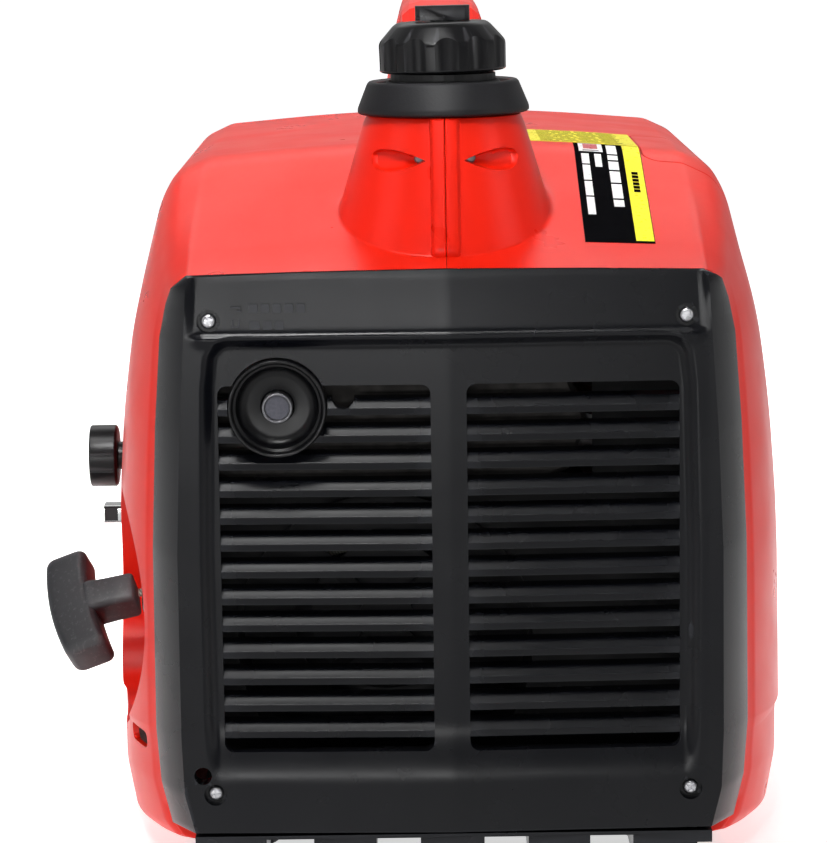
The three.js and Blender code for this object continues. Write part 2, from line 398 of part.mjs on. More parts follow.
// ---------------------------------------------------------------- fuel system
{
  const outline = poly([[-212, 252], [-212, 272], [-203, 280.5], [-158, 297], [-118, 311], [98, 311], [104, 305], [104, 246], [98, 240], [-100, 240], [-130, 246]]);
  const inner = poly([[-209, 255], [-209, 271], [-202, 277.5], [-157, 294], [-117.5, 308], [96.5, 308], [101, 303.5], [101, 247], [97, 243], [-99.5, 243], [-130, 249]]);
  const NECK = [0, FILLER_Y, 0];
  let tank = join(prismX(outline, -88, 88, 3), rod('z', 284, 360.5, 24, NECK, 32));
  tank = cut(tank, prismX(inner, -85, 85, 3), rod('z', 275, 362, 21.2, NECK, 32));
  node('fuel_tank', tank, 0x2d2e31, 0.6, 0);
  node('fuel_strainer', turn('z', [[0, 301], [16, 301], [17.4, 302.4], [20.6, 354], [20.6, 358.4], [19.4, 358.4], [19.4, 354.2], [16.4, 303.2], [0, 302.2]], NECK, 28), WHITE, 0.5, 0);
  node('neck_seal', turn('z', [[24.4, 343.6], [38.2, 342.4], [39.3, 343.4], [39.3, 345], [34.6, 356.2], [33.7, 357.4], [24.4, 357.4], [24.4, 343.6]], NECK, 28), RUBBER, 0.8, 0);
  // cap: scalloped skirt with a chamfered crown, and a plug that screws into the neck
  let cap = turn('z', [[0, 352], [16.6, 352], [17.4, 353], [17.4, 362.8], [20.5, 362.8], [20.5, 361], [27.6, 361], [28.6, 362], [28.6, 375.6], [27.4, 377.8], [22.6, 383], [20.6, 384], [0, 384]], NECK, 24);
  for (let i = 0; i < 12; i++) {
    const a = (i + 0.5) * Math.PI / 6;
    cap = cut(cap, rod('z', 364, 390, 3.4, [(CAP_R + 1.4) * Math.cos(a), FILLER_Y + (CAP_R + 1.4) * Math.sin(a), 0], 6));
  }
  cap = cut(cap, rod('z', 380, 386, 6.2, NECK, 24));
  node('fuel_cap', cap, DARK, 0.42, 0);
  node('cap_gasket', pipe('z', 358.8, 360.2, 20.4, 17.8, NECK, 32), RUBBER, 0.85, 0);
  node('vent_knob', join(rbox(-12.5, 12.5, FILLER_Y - 5, FILLER_Y + 5, 384.6, 391.2, 3, 1), rod('z', 380.5, 386, 5.6, NECK, 20)), DARK, 0.45, 0);
  node('fuel_valve', join(rboxX(-12, 12, 106.6, 122, 236, 252, 3, 1).translate(0, -0, 0), rod('x', 12, 22, 4, [0, 114, 244], 12)), BRASS, 0.4, 0.9);
  node('fuel_hose', tube([[22.6, 114, 244], [34, 114, 243], [46, 112, 232], [52, 104, 210], [56, 92, 190], [58, 80, 176], [58, 74.6, 165.6]], 4, 14, 8), RUBBER, 0.7, 0);
}

// ---------------------------------------------------------------- exhaust
const OUT = [OUTLET_X, 0, OUTLET_Z];
const outY = -HALF_L - ridge(OUTLET_X);
node('outlet_dish', turn('y', [[7.4, outY + 9], [16.8, outY + 8.4], [19.6, outY + 3], [20.6, outY + 0.4], [21.6, outY + 0.2], [22, outY + 1], [22, outY + 12], [19, outY + 14], [7.4, outY + 14], [7.4, outY + 9]], OUT, 24), DARK, 0.4, 0.2);
node('tail_pipe', pipe('y', outY + 2.6, -228.8, 6.7, 5.3, OUT, 28), STEEL, 0.35, 1);
{
  let body = rboxY(-116, 62, -228, -160, 176, 234, 26, 2);
  body = cut(body, rboxY(-114, 60, -226.2, -161.8, 178, 232, 24), rod('y', -240, -215, 5, OUT, 20));
  node('muffler', body, 0x6d6a66, 0.5, 0.9);
  node('muffler_shield', cut(rboxY(-110, 56, -160 + 4, -160 + 5.2, 172, 238, 20), rod('y', -170, -140, 10, [40, 0, 204], 20)), STEEL, 0.4, 1);
  node('exhaust_pipe', tube([[40, -159.6, 204], [40, -140, 204], [50, -120, 203], [70, -100, 196], [80, -84, 190], [84, -74.4, 184]], 7, 12, 10), 0x7a6f66, 0.5, 0.9);
}

// ---------------------------------------------------------------- recoil starter and engine
const CR = [CRANK_X, 0, CRANK_Z];
{
  // round air duct that carries the starter, its thin rim shows behind the grille
  const baffle = cut(prismY(poly([[-112, 36], [112, 36], [112, 232], [66, 232], [66, 172], [-112, 172]]), -207, -205), rod('y', -215, -200, 69, CR, 32));
  let housing = join(pipe('y', -210, -104, 70, 68.4, CR, 32), baffle, pipe('y', -156, -153, 69.2, 44, CR, 32));
  for (let i = 0; i < 4; i++) housing = join(housing, box(-3, 3, -156, -153, 10, 47).rotateY((i + 0.5) * Math.PI / 2).translate(CRANK_X, 0, CRANK_Z));
  housing = join(housing, rod('y', -156, -152, 13, CR, 20));
  housing = join(cut(housing, rod('x', -140, -60, 9, [0, ROPE_Y, 118.5], 14)), rod('y', -154, -132, 5.6, CR, 18));
  node('recoil_housing', housing, 0x2a2b2e, 0.5, 0.1);
  node('recoil_pulley', cut(turn('y', [[0, -150.5], [36, -150.5], [36, -148], [PULLEY_R - 2, -146], [PULLEY_R - 2, -140], [36, -138], [36, -135.5], [0, -135.5]], CR, 24), rod('y', -160, -130, 6.4, CR, 18)), 0xc9c4b4, 0.6, 0);
  // rope from the pulley top to the guide in the pocket
  node('starter_rope', tube([[CRANK_X, ROPE_Y, CRANK_Z + PULLEY_R + 2.6], [-60, ROPE_Y, 129.5], [-98, ROPE_Y, 116.8], [-117, ROPE_Y, 111.7], [-147, ROPE_Y, STEM_Z]], 2, 16, 8), 0xd6d3c8, 0.9, 0);
  node('rope_guide', turn('x', [[3.2, -146.8], [9.4, -146.8], [10.4, -145.8], [10.4, -141.6], [6.6, -139.4], [6.6, -122.8], [3.2, -122.8], [3.2, -146.8]], [0, ROPE_Y, STEM_Z], 24), STEEL, 0.3, 1);
  // fan on the flywheel
  let fan = join(pipe('y', -130.5, -128, 62, 16, CR, 24), pipe('y', -130.5, -110, 18, 11.6, CR, 24));
  for (let i = 0; i < 8; i++) {
    const b = box(24, 61, -128.4, -112, -1.2, 1.2).rotateX(0);
    b.rotateZ(0).rotateY(0);
    fan = join(fan, warp(b, (q) => { q.z += (q.x - 24) * 0.35; }).rotateY(i * Math.PI / 4).translate(CRANK_X, 0, CRANK_Z));
  }
  node('cooling_fan', fan, 0x3a3c40, 0.5, 0);
  node('flywheel_rotor', turn('y', [[11.6, -109], [62, -109], [64, -107], [64, -75], [58, -75], [58, -103], [11.6, -103], [11.6, -109]], CR, 32), 0x7d8083, 0.45, 0.9);
  let stator = pipe('y', -99, -79, 36, 20, CR, 36);
  for (let i = 0; i < 9; i++) stator = join(stator, box(34, 56, -97, -81, -5.6, 5.6).rotateY(i * 2 * Math.PI / 9).translate(CRANK_X, 0, CRANK_Z));
  node('stator', stator, COPPER, 0.5, 0.6);
  node('crankshaft', join(rod('y', -131.6, 34, 11.2, CR, 16), rod('y', -46, -36, 30, CR, 16), rod('y', -16, -6, 30, CR, 16), rod('y', -37, -15, 9, [CRANK_X, 0, CRANK_Z + 19], 16)), STEEL, 0.35, 1);
  // crankcase, open on its +Y side
  let cc = rboxY(-86, 44, -72, 18, 34.2, 152, 18, 2);
  cc = cut(cc, rboxY(-80, 38, -64, 30, 40, 146, 14), rod('y', -90, -50, 12, CR, 28), rod('x', 20, 60, 12.5, [0, -4, 62], 20));
  // opening for the cylinder
  const ang = Math.PI / 6, ux = V(Math.cos(ang), 0, Math.sin(ang)), uz = V(-Math.sin(ang), 0, Math.cos(ang));
  const alongCyl = (g, r0) => g.applyMatrix4(M4(V(0, 1, 0), uz, ux, V(CRANK_X, -26, CRANK_Z)));
  cc = cut(cc, alongCyl(rod('z', 40, 140, 27, [0, 0, 0], 24)), alongCyl(box(-46, 46, -46, 46, 81.2, 170)));
  node('crankcase', cc, ALU, 0.5, 0.8);
  node('crankcase_cover', cut(join(rboxY(-84, 42, 18.4, 26, 36, 150, 16, 1), rod('y', 25, 32, 22, CR, 24)), rod('y', 10, 40, 12, CR, 28)), ALU, 0.5, 0.8);
  let barrel = rod('z', 60, 112, 34, [0, 0, 0], 24);
  for (let i = 0; i < 3; i++) barrel = join(barrel, box(-42, 42, -42, 42, 85 + i * 9, 88 + i * 9));
  barrel = cut(barrel, rod('z', 50, 130, 26, [0, 0, 0], 24));
  const noCase = rboxY(-86.4, 44.4, -72.4, 18.4, 33.8, 152.4, 18, 2);
  node('cylinder', cut(alongCyl(geometryOf(barrel)), both(noCase, alongCyl(box(-60, 60, -60, 60, 0, 81.7)))), 0x8d8f90, 0.5, 0.8);
  let head = box(-40, 40, -40, 40, 112.4, 126);
  for (let i = 0; i < 3; i++) head = join(head, box(-42, 42, -42, 42, 113.6 + i * 4.4, 115.6 + i * 4.4));
  head = cut(head, rod('y', 20, 60, 5, [0, 0, 119], 16));
  node('cylinder_head', alongCyl(geometryOf(head)), ALU, 0.5, 0.8);
  node('rocker_cover', alongCyl(rbox(-30, 30, -36, 36, 126.4, 142, 8, 2)), ALU, 0.45, 0.8);
  // spark plug in the upper side of the head
  node('spark_plug', alongCyl(join(rod('y', 22, 41, 4.6, [0, 0, 119], 16), rod('y', 42.4, 48, 9, [0, 0, 119], 6), rod('y', 40, 62, 4.4, [0, 0, 119], 16)) && geometryOf(join(rod('y', 22, 44, 4.6, [0, 0, 119], 16), rod('y', 42.4, 48, 8, [0, 0, 119], 6), rod('y', 46, 60, 4.4, [0, 0, 119], 16)))), WHITE, 0.3, 0);
  node('plug_boot', alongCyl(geometryOf(cut(rod('y', 50, 74, 8, [0, 0, 119], 18), rod('y', 48, 62, 5, [0, 0, 119], 16)))), RUBBER, 0.8, 0);
  node('oil_filler_cap', join(rod('x', 45, 58, 15, [0, -4, 62], 24), rod('x', 36, 46, 11.8, [0, -4, 62], 20), rboxX(57, 64, -16, 8, 59, 65, 2)), 0xc8471f, 0.5, 0);
}

// ---------------------------------------------------------------- intake
{
  node('carburetor', join(rbox(44, 74, 44, 74, 118, 150, 4, 1), rod('x', 70, 83.6, 11, [0, 59, 130], 24), rod('z', 100, 119, 13, [59, 59, 0], 20), rod('z', 149, 165, 3.4, [58, 74 - 4, 0], 10)), ALU, 0.45, 0.8);
  node('air_cleaner_case', cut(rboxX(84, 132, 22, 96, 78, 170, 8, 1), rboxX(87, 140, 25, 93, 81, 167, 6), rod('x', 80, 90, 10, [0, 59, 130], 20)), 0x202124, 0.55, 0);
  node('air_filter', rboxX(96, 118, 26, 92, 82, 166, 6, 1), 0x4a4d50, 0.95, 0);
}

// ---------------------------------------------------------------- electrics
{
  let inv = rboxY(-92, 92, 128, 196, 34.4, 106, 4, 1);
  for (let i = 0; i < 9; i++) inv = cut(inv, box(-84 + i * 19, -75 + i * 19, 120, 188, 94, 112));
  node('inverter_unit', inv, ALU, 0.45, 0.8);
  let plate = rboxY(-83.6, 83.6, HALF_L - 12, HALF_L - 8, 131.4, 248.6, 6, 0.8);
  plate = cut(plate, ...[[-58, 160], [-58, 206]].map(([x, z]) => rod('y', 200, 270, 17.4, [x, 0, z], 20)));
  plate = cut(plate, rod('y', 200, 270, 8, [0, 0, 158], 20), rod('y', 200, 270, 5.4, [36, 0, 158], 16), rboxY(23.6, 48.4, 200, 270, 197.6, 212.4, 1), rod('y', 200, 270, 3.2, [62, 0, 158], 12), rboxY(-14.4, 14.4, 200, 270, 201.6, 208.4, 2));
  node('control_panel', plate, PLATE, 0.5, 0);
  const oy = HALF_L - 12;
  [[-58, 160], [-58, 206]].forEach(([x, z], i) => {
    let o = join(rod('y', oy - 16, oy + 5.4, 17, [x, 0, z], 20), rod('y', oy + 4.2, oy + 6, 20, [x, 0, z], 20));
    o = cut(o, box(x - 7.4, x - 5.6, oy - 8, oy + 8, z - 2, z + 6), box(x + 5.6, x + 7.4, oy - 8, oy + 8, z - 3, z + 7), rod('y', oy - 8, oy + 8, 1.9, [x, 0, z - 9], 10));
    node(`ac_outlet_${i + 1}`, o, 0x1b1c1f, 0.4, 0);
  });
  node('dc_outlet', cut(join(rod('y', oy - 12, oy + 5, 7.6, [0, 0, 158], 16), rod('y', oy + 4.4, oy + 6, 10, [0, 0, 158], 16)), rod('y', oy - 6, oy + 8, 1.6, [-3.2, 0, 158], 8), rod('y', oy - 6, oy + 8, 1.6, [3.2, 0, 158], 8)), 0x1b1c1f, 0.4, 0);
  node('breaker_button', join(rod('y', oy - 6, oy + 7.4, 5, [36, 0, 158], 20), rod('y', oy - 8, oy - 5, 7, [36, 0, 158], 16)), 0xc4251b, 0.4, 0);
  node('eco_switch', join(rboxY(25, 47, oy - 2, oy + 7, 198, 212, 1, 0.6), rod('z', 200, 210, 4, [36, oy - 3, 0], 12)), 0x1a1b1d, 0.4, 0);
  node('indicator_lens', rboxY(-14, 14, oy - 3, oy + 5.2, 202, 208, 1.6, 0.4), 0x2f7d3a, 0.2, 0);
  node('ground_terminal', join(rod('y', oy - 6, oy + 14, 2.9, [62, 0, 158], 12), rod('y', oy + 4.4, oy + 8, 6.5, [62, 0, 158], 6)), BRASS, 0.3, 1);
}

// ---------------------------------------------------------------- hand controls on the left flank
{
  let grip = turn('x', [[0, -173.6], [14.4, -173.6], [15, -173], [15, -160], [0, -160]], [0, -105, 172], 32);
  for (const z of [163.4, 168.6, 175.4, 180.6]) grip = cut(grip, box(-177, -171.4, -125, -85, z - 0.5, z + 0.5));
  node('engine_knob', join(grip, rod('x', -161, -136, 6.8, [0, -105, 172], 18)), DARK, 0.4, 0);
  node('choke_lever', join(rboxX(-169.6, -161, -90, -77, 134.8, 144.2, 1.5, 0.8), box(-163, -132, -88, -79, 138.2, 140.6), box(-136, -133.6, -88, -79, 128.2, 140.6)), 0x2a2a2c, 0.4, 0.3);
  const s = PULL, u = V(0, 1, 0), w = new THREE.Vector3().crossVectors(u, s).normalize(); // w points up and outwards
  if (w.z < 0) w.negate();
  const phi = THREE.MathUtils.degToRad(48);
  const barAxis = w.clone().multiplyScalar(Math.cos(phi)).addScaledVector(u, Math.sin(phi)).normalize();
  const uy = new THREE.Vector3().crossVectors(barAxis, s).normalize();
  const centre = STEM_ROOT.clone().addScaledVector(s, 34);
  // bar: rounded section, thinner towards the ends, which lean back to the shell by 3 mm
  const bar = [[-30, 0.74], [-29, 0.88], [-27, 0.95], [-22, 0.97], [-11, 1], [0, 1.01], [11, 1], [22, 0.97], [27, 0.95], [29, 0.88], [30, 0.74]].map(([t, f]) => {
    const ring = [];
    for (let i = 0; i < 4; i++) for (const e of [0, 45, 90]) {
      const q = THREE.MathUtils.degToRad(90 * i + e), sx = i === 0 || i === 3 ? 1 : -1, sy = i < 2 ? 1 : -1;
      const px = sx * 6.3 + 4.2 * Math.cos(q), py = sy * 6 + 4 * Math.sin(q);
      ring.push(centre.clone().addScaledVector(barAxis, t).addScaledVector(s, px * f - 3 * (t / 30) ** 2).addScaledVector(uy, py * f));
    }
    return ring;
  });
  const barG = loft(bar, centre.clone().addScaledVector(barAxis, -30).addScaledVector(s, -3), centre.clone().addScaledVector(barAxis, 30).addScaledVector(s, -3));
  const stemG = extrude(rrect(18, 17, 4, 2), 29, 0.8).applyMatrix4(M4(uy, new THREE.Vector3().crossVectors(s, uy).normalize(), s, STEM_ROOT.clone().addScaledVector(s, 2.6)));
  node('pull_handle', join(barG, stemG), 0x2a2b2e, 0.5, 0);
}

export default group;
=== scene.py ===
import math
import bpy
import bmesh
import numpy as np
from mathutils import Matrix, Vector


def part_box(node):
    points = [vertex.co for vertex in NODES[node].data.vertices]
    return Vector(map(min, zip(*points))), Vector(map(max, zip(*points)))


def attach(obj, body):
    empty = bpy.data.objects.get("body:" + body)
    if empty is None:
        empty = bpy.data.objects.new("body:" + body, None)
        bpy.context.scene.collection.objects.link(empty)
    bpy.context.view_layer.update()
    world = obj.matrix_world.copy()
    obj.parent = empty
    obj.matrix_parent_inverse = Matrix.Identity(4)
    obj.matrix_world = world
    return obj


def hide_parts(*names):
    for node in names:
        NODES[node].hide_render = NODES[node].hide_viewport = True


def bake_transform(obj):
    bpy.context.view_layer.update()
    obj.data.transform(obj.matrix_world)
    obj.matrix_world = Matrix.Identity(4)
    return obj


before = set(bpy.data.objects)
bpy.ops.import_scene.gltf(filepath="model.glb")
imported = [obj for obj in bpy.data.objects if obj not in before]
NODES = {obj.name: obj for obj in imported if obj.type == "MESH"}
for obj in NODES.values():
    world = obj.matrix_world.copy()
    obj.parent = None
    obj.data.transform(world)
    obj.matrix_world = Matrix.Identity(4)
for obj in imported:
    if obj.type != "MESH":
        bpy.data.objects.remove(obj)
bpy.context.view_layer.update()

_lo, _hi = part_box("rear_panel")
SX = (_lo.x + _hi.x) / 2          # the body's centre plane in the row frame, metres
SC = bpy.context.scene
rad = math.radians

# ------------------------------------------------------------------ small helpers (all lengths in mm, body frame)


def P(x, y, z):
    return (x / 1000 + SX, y / 1000, z / 1000)


def link(o):
    SC.collection.objects.link(o)
    return o


def raw(name, verts, faces, fix=True, flip=False):
    """A mesh object from millimetre points in the body frame."""
    me = bpy.data.meshes.new(name)
    me.from_pydata([P(*v) for v in verts], [], [tuple(f) for f in faces])
    me.validate()
    if fix:
        bm = bmesh.new()
        bm.from_mesh(me)
        bmesh.ops.remove_doubles(bm, verts=bm.verts, dist=1e-7)
        bmesh.ops.recalc_face_normals(bm, faces=bm.faces)
        bm.to_mesh(me)
        bm.free()
    return link(bpy.data.objects.new(name, me))


def smooth(o, angle=30):
    o.data.shade_smooth()
    o.data.set_sharp_from_angle(angle=rad(angle))
    return o


def apply(o):
    dg = bpy.context.evaluated_depsgraph_get()
    me = bpy.data.meshes.new_from_object(o.evaluated_get(dg))
    o.modifiers.clear()
    old = o.data
    o.data = me
    if not old.users:
        bpy.data.meshes.remove(old)
    return o


def drop(*objs):
    for o in objs:
        me = o.data
        bpy.data.objects.remove(o)
        if me and not me.users:
            bpy.data.meshes.remove(me)


def boolean(o, op, *others, keep=False, solver="MANIFOLD"):
    for c in others:
        m = o.modifiers.new("b", "BOOLEAN")
        m.operation = op
        m.solver = solver
        m.object = c
    apply(o)
    if not keep:
        drop(*others)
    return o


def bevel(o, width=0.5, seg=2, angle=35, harden=True):
    m = o.modifiers.new("edges", "BEVEL")
    m.width = width / 1000
    m.segments = seg
    m.limit_method = "ANGLE"
    m.angle_limit = rad(angle)
    m.use_clamp_overlap = True
    m.harden_normals = harden
    m.miter_outer = "MITER_ARC"
    return o


def subsurf(o, n=2):
    m = o.modifiers.new("round", "SUBSURF")
    m.levels = m.render_levels = n
    return o


def done(o, mat, body="root", rep=(), sm=30):
    if sm is not None:
        smooth(o, sm)
    o.data.materials.clear()
    o.data.materials.append(mat)
    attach(o, body)
    if rep:
        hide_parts(*([rep] if isinstance(rep, str) else rep))
    return o


def loft(rings, caps=True, close=True):
    """Rings of equal length joined by quads; caps are fans round a middle point."""
    n = len(rings[0])
    verts = [tuple(p) for r in rings for p in r]
    faces = []
    span = n if close else n - 1
    for s in range(len(rings) - 1):
        for k in range(span):
            a, b = s * n + k, s * n + (k + 1) % n
            faces.append((a, b, b + n, a + n))
    if caps:
        for s in (0, len(rings) - 1):
            c = tuple(np.mean(np.array(rings[s], float), axis=0))
            verts.append(c)
            i = len(verts) - 1
            for k in range(n):
                faces.append((s * n + k, s * n + (k + 1) % n, i))
    return verts, faces


def turned(profile, axis="z", c=(0, 0, 0), seg=64):
    """Closed body of revolution. profile: (radius, position along the axis); a closed outline, or one that starts and ends on the axis."""
    verts, faces, ids = [], [], []
    prof = list(profile)
    closed = prof[0] == prof[-1]
    if closed:
        prof = prof[:-1]

    def put(r, a, t):
        u, w = r * math.cos(t), r * math.sin(t)
        return {"z": (c[0] + u, c[1] + w, c[2] + a), "y": (c[0] + u, c[1] + a, c[2] + w), "x": (c[0] + a, c[1] + u, c[2] + w)}[axis]
    for r, a in prof:
        if r < 1e-6:
            ids.append([len(verts)] * seg)
            verts.append(put(0, a, 0))
        else:
            ids.append(list(range(len(verts), len(verts) + seg)))
            verts.extend(put(r, a, 2 * math.pi * i / seg) for i in range(seg))
    m = len(prof)
    for j in range(m if closed else m - 1):
        p, q = ids[j], ids[(j + 1) % m]
        for i in range(seg):
            k = (i + 1) % seg
            f = []
            for v in (p[i], p[k], q[k], q[i]):
                if v not in f:
                    f.append(v)
            if len(f) > 2:
                faces.append(f)
    return verts, faces


def rounded(profile, radii, n=4):
    """Rounds the corners of an open or closed outline of 2-D points with small arcs."""
    pts, out = [np.array(p, float) for p in profile], []
    closed = tuple(profile[0]) == tuple(profile[-1])
    if closed:
        pts = pts[:-1]
    m = len(pts)
    for i, p in enumerate(pts):
        r = radii[i] if hasattr(radii, "__len__") else radii
        if r <= 0 or (not closed and i in (0, m - 1)):
            out.append(tuple(p))
            continue
        a, b = pts[i - 1] - p, pts[(i + 1) % m] - p
        la, lb = np.linalg.norm(a), np.linalg.norm(b)
        d = min(r, la * 0.48, lb * 0.48)
        A, B = p + a / la * d, p + b / lb * d
        for j in range(n + 1):
            t = j / n
            out.append(tuple((1 - t) ** 2 * A + 2 * t * (1 - t) * p + t * t * B))
    if closed:
        out.append(out[0])
    return out


def prism(pts, axis, a0, a1):
    """Solid from an outline in the plane across axis. x: (y, z), y: (x, z), z: (x, y)."""
    def put(p, a):
        return {"x": (a, p[0], p[1]), "y": (p[0], a, p[1]), "z": (p[0], p[1], a)}[axis]
    n = len(pts)
    verts = [put(p, a0) for p in pts] + [put(p, a1) for p in pts]
    faces = [(i, (i + 1) % n, (i + 1) % n + n, i + n) for i in range(n)]
    faces += [tuple(range(n)), tuple(range(n, 2 * n))]
    return verts, faces


def rrect(cx, cy, w, h, r, n=4):
    out = []
    for sx, sy, a0 in ((1, 1, 0), (-1, 1, 90), (-1, -1, 180), (1, -1, 270)):
        for i in range(n + 1):
            a = rad(a0 + 90 * i / n)
            out.append((cx + sx * (w / 2 - r) + r * math.cos(a), cy + sy * (h / 2 - r) + r * math.sin(a)))
    return out


def box(x0, x1, y0, y1, z0, z1):
    v = [(x, y, z) for x in (x0, x1) for y in (y0, y1) for z in (z0, z1)]
    return v, [(0, 1, 3, 2), (4, 6, 7, 5), (0, 4, 5, 1), (2, 3, 7, 6), (0, 2, 6, 4), (1, 5, 7, 3)]


def merge(*parts):
    verts, faces = [], []
    for v, f in parts:
        k = len(verts)
        verts += list(v)
        faces += [tuple(i + k for i in q) for q in f]
    return verts, faces


# ------------------------------------------------------------------ materials


def new_mat(name):
    m = bpy.data.materials.new(name)
    m.use_nodes = True
    nt = m.node_tree
    nt.nodes.clear()
    out = nt.nodes.new("ShaderNodeOutputMaterial")
    b = nt.nodes.new("ShaderNodeBsdfPrincipled")
    nt.links.new(b.outputs[0], out.inputs[0])
    return m, nt, b


def tex_coord(nt, scale=(1, 1, 1)):
    tc = nt.nodes.new("ShaderNodeTexCoord")
    mp = nt.nodes.new("ShaderNodeMapping")
    mp.inputs["Scale"].default_value = scale
    nt.links.new(tc.outputs["Object"], mp.inputs["Vector"])
    return mp.outputs[0]


def noise(nt, vec, scale, detail=3, rough=0.5):
    n = nt.nodes.new("ShaderNodeTexNoise")
    n.inputs["Scale"].default_value = scale
    n.inputs["Detail"].default_value = detail
    n.inputs["Roughness"].default_value = rough
    nt.links.new(vec, n.inputs["Vector"])
    return n.outputs["Fac"]


def ramp(nt, fac, stops):
    r = nt.nodes.new("ShaderNodeValToRGB")
    while len(r.color_ramp.elements) < len(stops):
        r.color_ramp.elements.new(0.5)
    for e, (p, c) in zip(r.color_ramp.elements, stops):
        e.position = p
        e.color = (*c, 1) if len(c) == 3 else c
    nt.links.new(fac, r.inputs[0])
    return r.outputs[0]


def mapr(nt, fac, a, b, lo=0.3, hi=0.7):
    m = nt.nodes.new("ShaderNodeMapRange")
    m.inputs["From Min"].default_value = lo
    m.inputs["From Max"].default_value = hi
    m.inputs["To Min"].default_value = a
    m.inputs["To Max"].default_value = b
    nt.links.new(fac, m.inputs["Value"])
    return m.outputs[0]


def mix(nt, fac, a, b, mode="MIX"):
    m = nt.nodes.new("ShaderNodeMix")
    m.data_type = "RGBA"
    m.blend_type = mode
    for sock, v in ((m.inputs["Factor"], fac), (m.inputs["A"], a), (m.inputs["B"], b)):
        pass
    fa = [i for i in m.inputs if i.name == "Factor"][0]
    ia = [i for i in m.inputs if i.name == "A" and i.type == "RGBA"][0]
    ib = [i for i in m.inputs if i.name == "B" and i.type == "RGBA"][0]
    for sock, v in ((fa, fac), (ia, a), (ib, b)):
        if hasattr(v, "links") or isinstance(v, bpy.types.NodeSocket):
            nt.links.new(v, sock)
        else:
            sock.default_value = (*v, 1) if hasattr(v, "__len__") and len(v) == 3 else v
    return [o for o in m.outputs if o.type == "RGBA"][0]


def bump(nt, b, height, strength=0.2, dist=0.0004, prev=None):
    n = nt.nodes.new("ShaderNodeBump")
    n.inputs["Strength"].default_value = strength
    n.inputs["Distance"].default_value = dist
    nt.links.new(height, n.inputs["Height"])
    if prev is not None:
        nt.links.new(prev, n.inputs["Normal"])
    nt.links.new(n.outputs[0], b.inputs["Normal"])
    return n.outputs[0]


def lin(*c):
    return tuple(((v / 255) / 12.92 if v <= 10.3 else (((v / 255) + 0.055) / 1.055) ** 2.4) for v in c)


def plastic(name, base, base2, rough=(0.35, 0.45), grain=900, grain_h=0.0001, gs=0.25, wear_and_highlight=None, spec=0.5, coat=0.0, streak=None, dust=None):
    """Moulded plastic: slow colour drift, fine moulded grain, uneven gloss; edges are lighter from rubbing, on the grip
    partly a painted edge highlight; dust lightens faces that look up.
    """
    m, nt, b = new_mat(name)
    vec = tex_coord(nt)
    big = noise(nt, vec, 9, 3)
    col = mix(nt, mapr(nt, big, 0, 1), base, base2)
    small = noise(nt, vec, grain, 2, 0.6)
    if streak:
        sv = tex_coord(nt, streak[0])
        sn = noise(nt, sv, streak[1], 4, 0.65)
        col = mix(nt, mapr(nt, sn, 0, streak[2], 0.56, 0.74), col, streak[3])
    if dust:
        geo = nt.nodes.new("ShaderNodeNewGeometry")
        sep = nt.nodes.new("ShaderNodeSeparateXYZ")
        nt.links.new(geo.outputs["Normal"], sep.inputs[0])
        up = mapr(nt, sep.outputs["Z"], 0, dust[0], 0.2, 1.0)
        dn = mapr(nt, noise(nt, vec, 60, 4), 0.4, 1.0)
        mul = nt.nodes.new("ShaderNodeMath")
        mul.operation = "MULTIPLY"
        nt.links.new(up, mul.inputs[0])
        nt.links.new(dn, mul.inputs[1])
        col = mix(nt, mul.outputs[0], col, dust[1])
    # convex edges made lighter: rubbed edges, and on the grip partly a painted highlight of lit edges
    if wear_and_highlight:
        geo = nt.nodes.new("ShaderNodeNewGeometry")
        w = mapr(nt, geo.outputs["Pointiness"], 0, wear_and_highlight[0], 0.52, 0.60)
        col = mix(nt, w, col, wear_and_highlight[1])
    nt.links.new(col, b.inputs["Base Color"])
    rn = noise(nt, vec, 30, 4)
    nt.links.new(mapr(nt, rn, rough[0], rough[1]), b.inputs["Roughness"])
    b.inputs["Specular IOR Level"].default_value = spec
    if coat:
        b.inputs["Coat Weight"].default_value = coat
        b.inputs["Coat Roughness"].default_value = 0.15
    bump(nt, b, small, gs, grain_h)
    return m


def metal(name, base, base2, rough=(0.25, 0.4), brushed=None, scale=40, bumpy=0.1, dist=0.0001, metallic=1.0):
    m, nt, b = new_mat(name)
    vec = tex_coord(nt)
    n = noise(nt, vec, scale, 5, 0.6)
    nt.links.new(mix(nt, mapr(nt, n, 0, 1), base, base2), b.inputs["Base Color"])
    b.inputs["Metallic"].default_value = metallic
    src = noise(nt, tex_coord(nt, brushed), 400, 3) if brushed else noise(nt, vec, scale * 8, 4)
    nt.links.new(mapr(nt, src, rough[0], rough[1]), b.inputs["Roughness"])
    bump(nt, b, src, bumpy, dist)
    return m


RED = plastic("red_shell", lin(226, 32, 12), lin(218, 27, 9), rough=(0.27, 0.36), grain=1400, grain_h=0.00004, gs=0.12, spec=0.2)
BLACK = plastic("panel_black", lin(11, 12, 17), lin(8, 9, 13), rough=(0.22, 0.3), grain=1500, grain_h=0.00006, gs=0.18, wear_and_highlight=(0.25, lin(70, 72, 78)), spec=0.24)
DARK = plastic("dark_plastic", lin(11, 11, 13), lin(8, 8, 10), rough=(0.27, 0.36), spec=0.3, grain=1200, grain_h=0.00006, gs=0.22, wear_and_highlight=(0.3, lin(80, 80, 84)))
PIT = plastic("dark_inner", lin(17, 17, 19), lin(13, 13, 15), rough=(0.5, 0.7), grain=900, grain_h=0.0001, gs=0.3)
# the grip's strong edge lightening is partly a painted highlight on its lit edges, partly rubbing
GRIP = plastic("grip_plastic", lin(50, 51, 54), lin(36, 37, 40), rough=(0.36, 0.6), grain=700, grain_h=0.0002, gs=0.35, wear_and_highlight=(0.6, lin(120, 120, 122)), streak=((60, 60, 12), 9, 0.5, lin(96, 96, 98)))
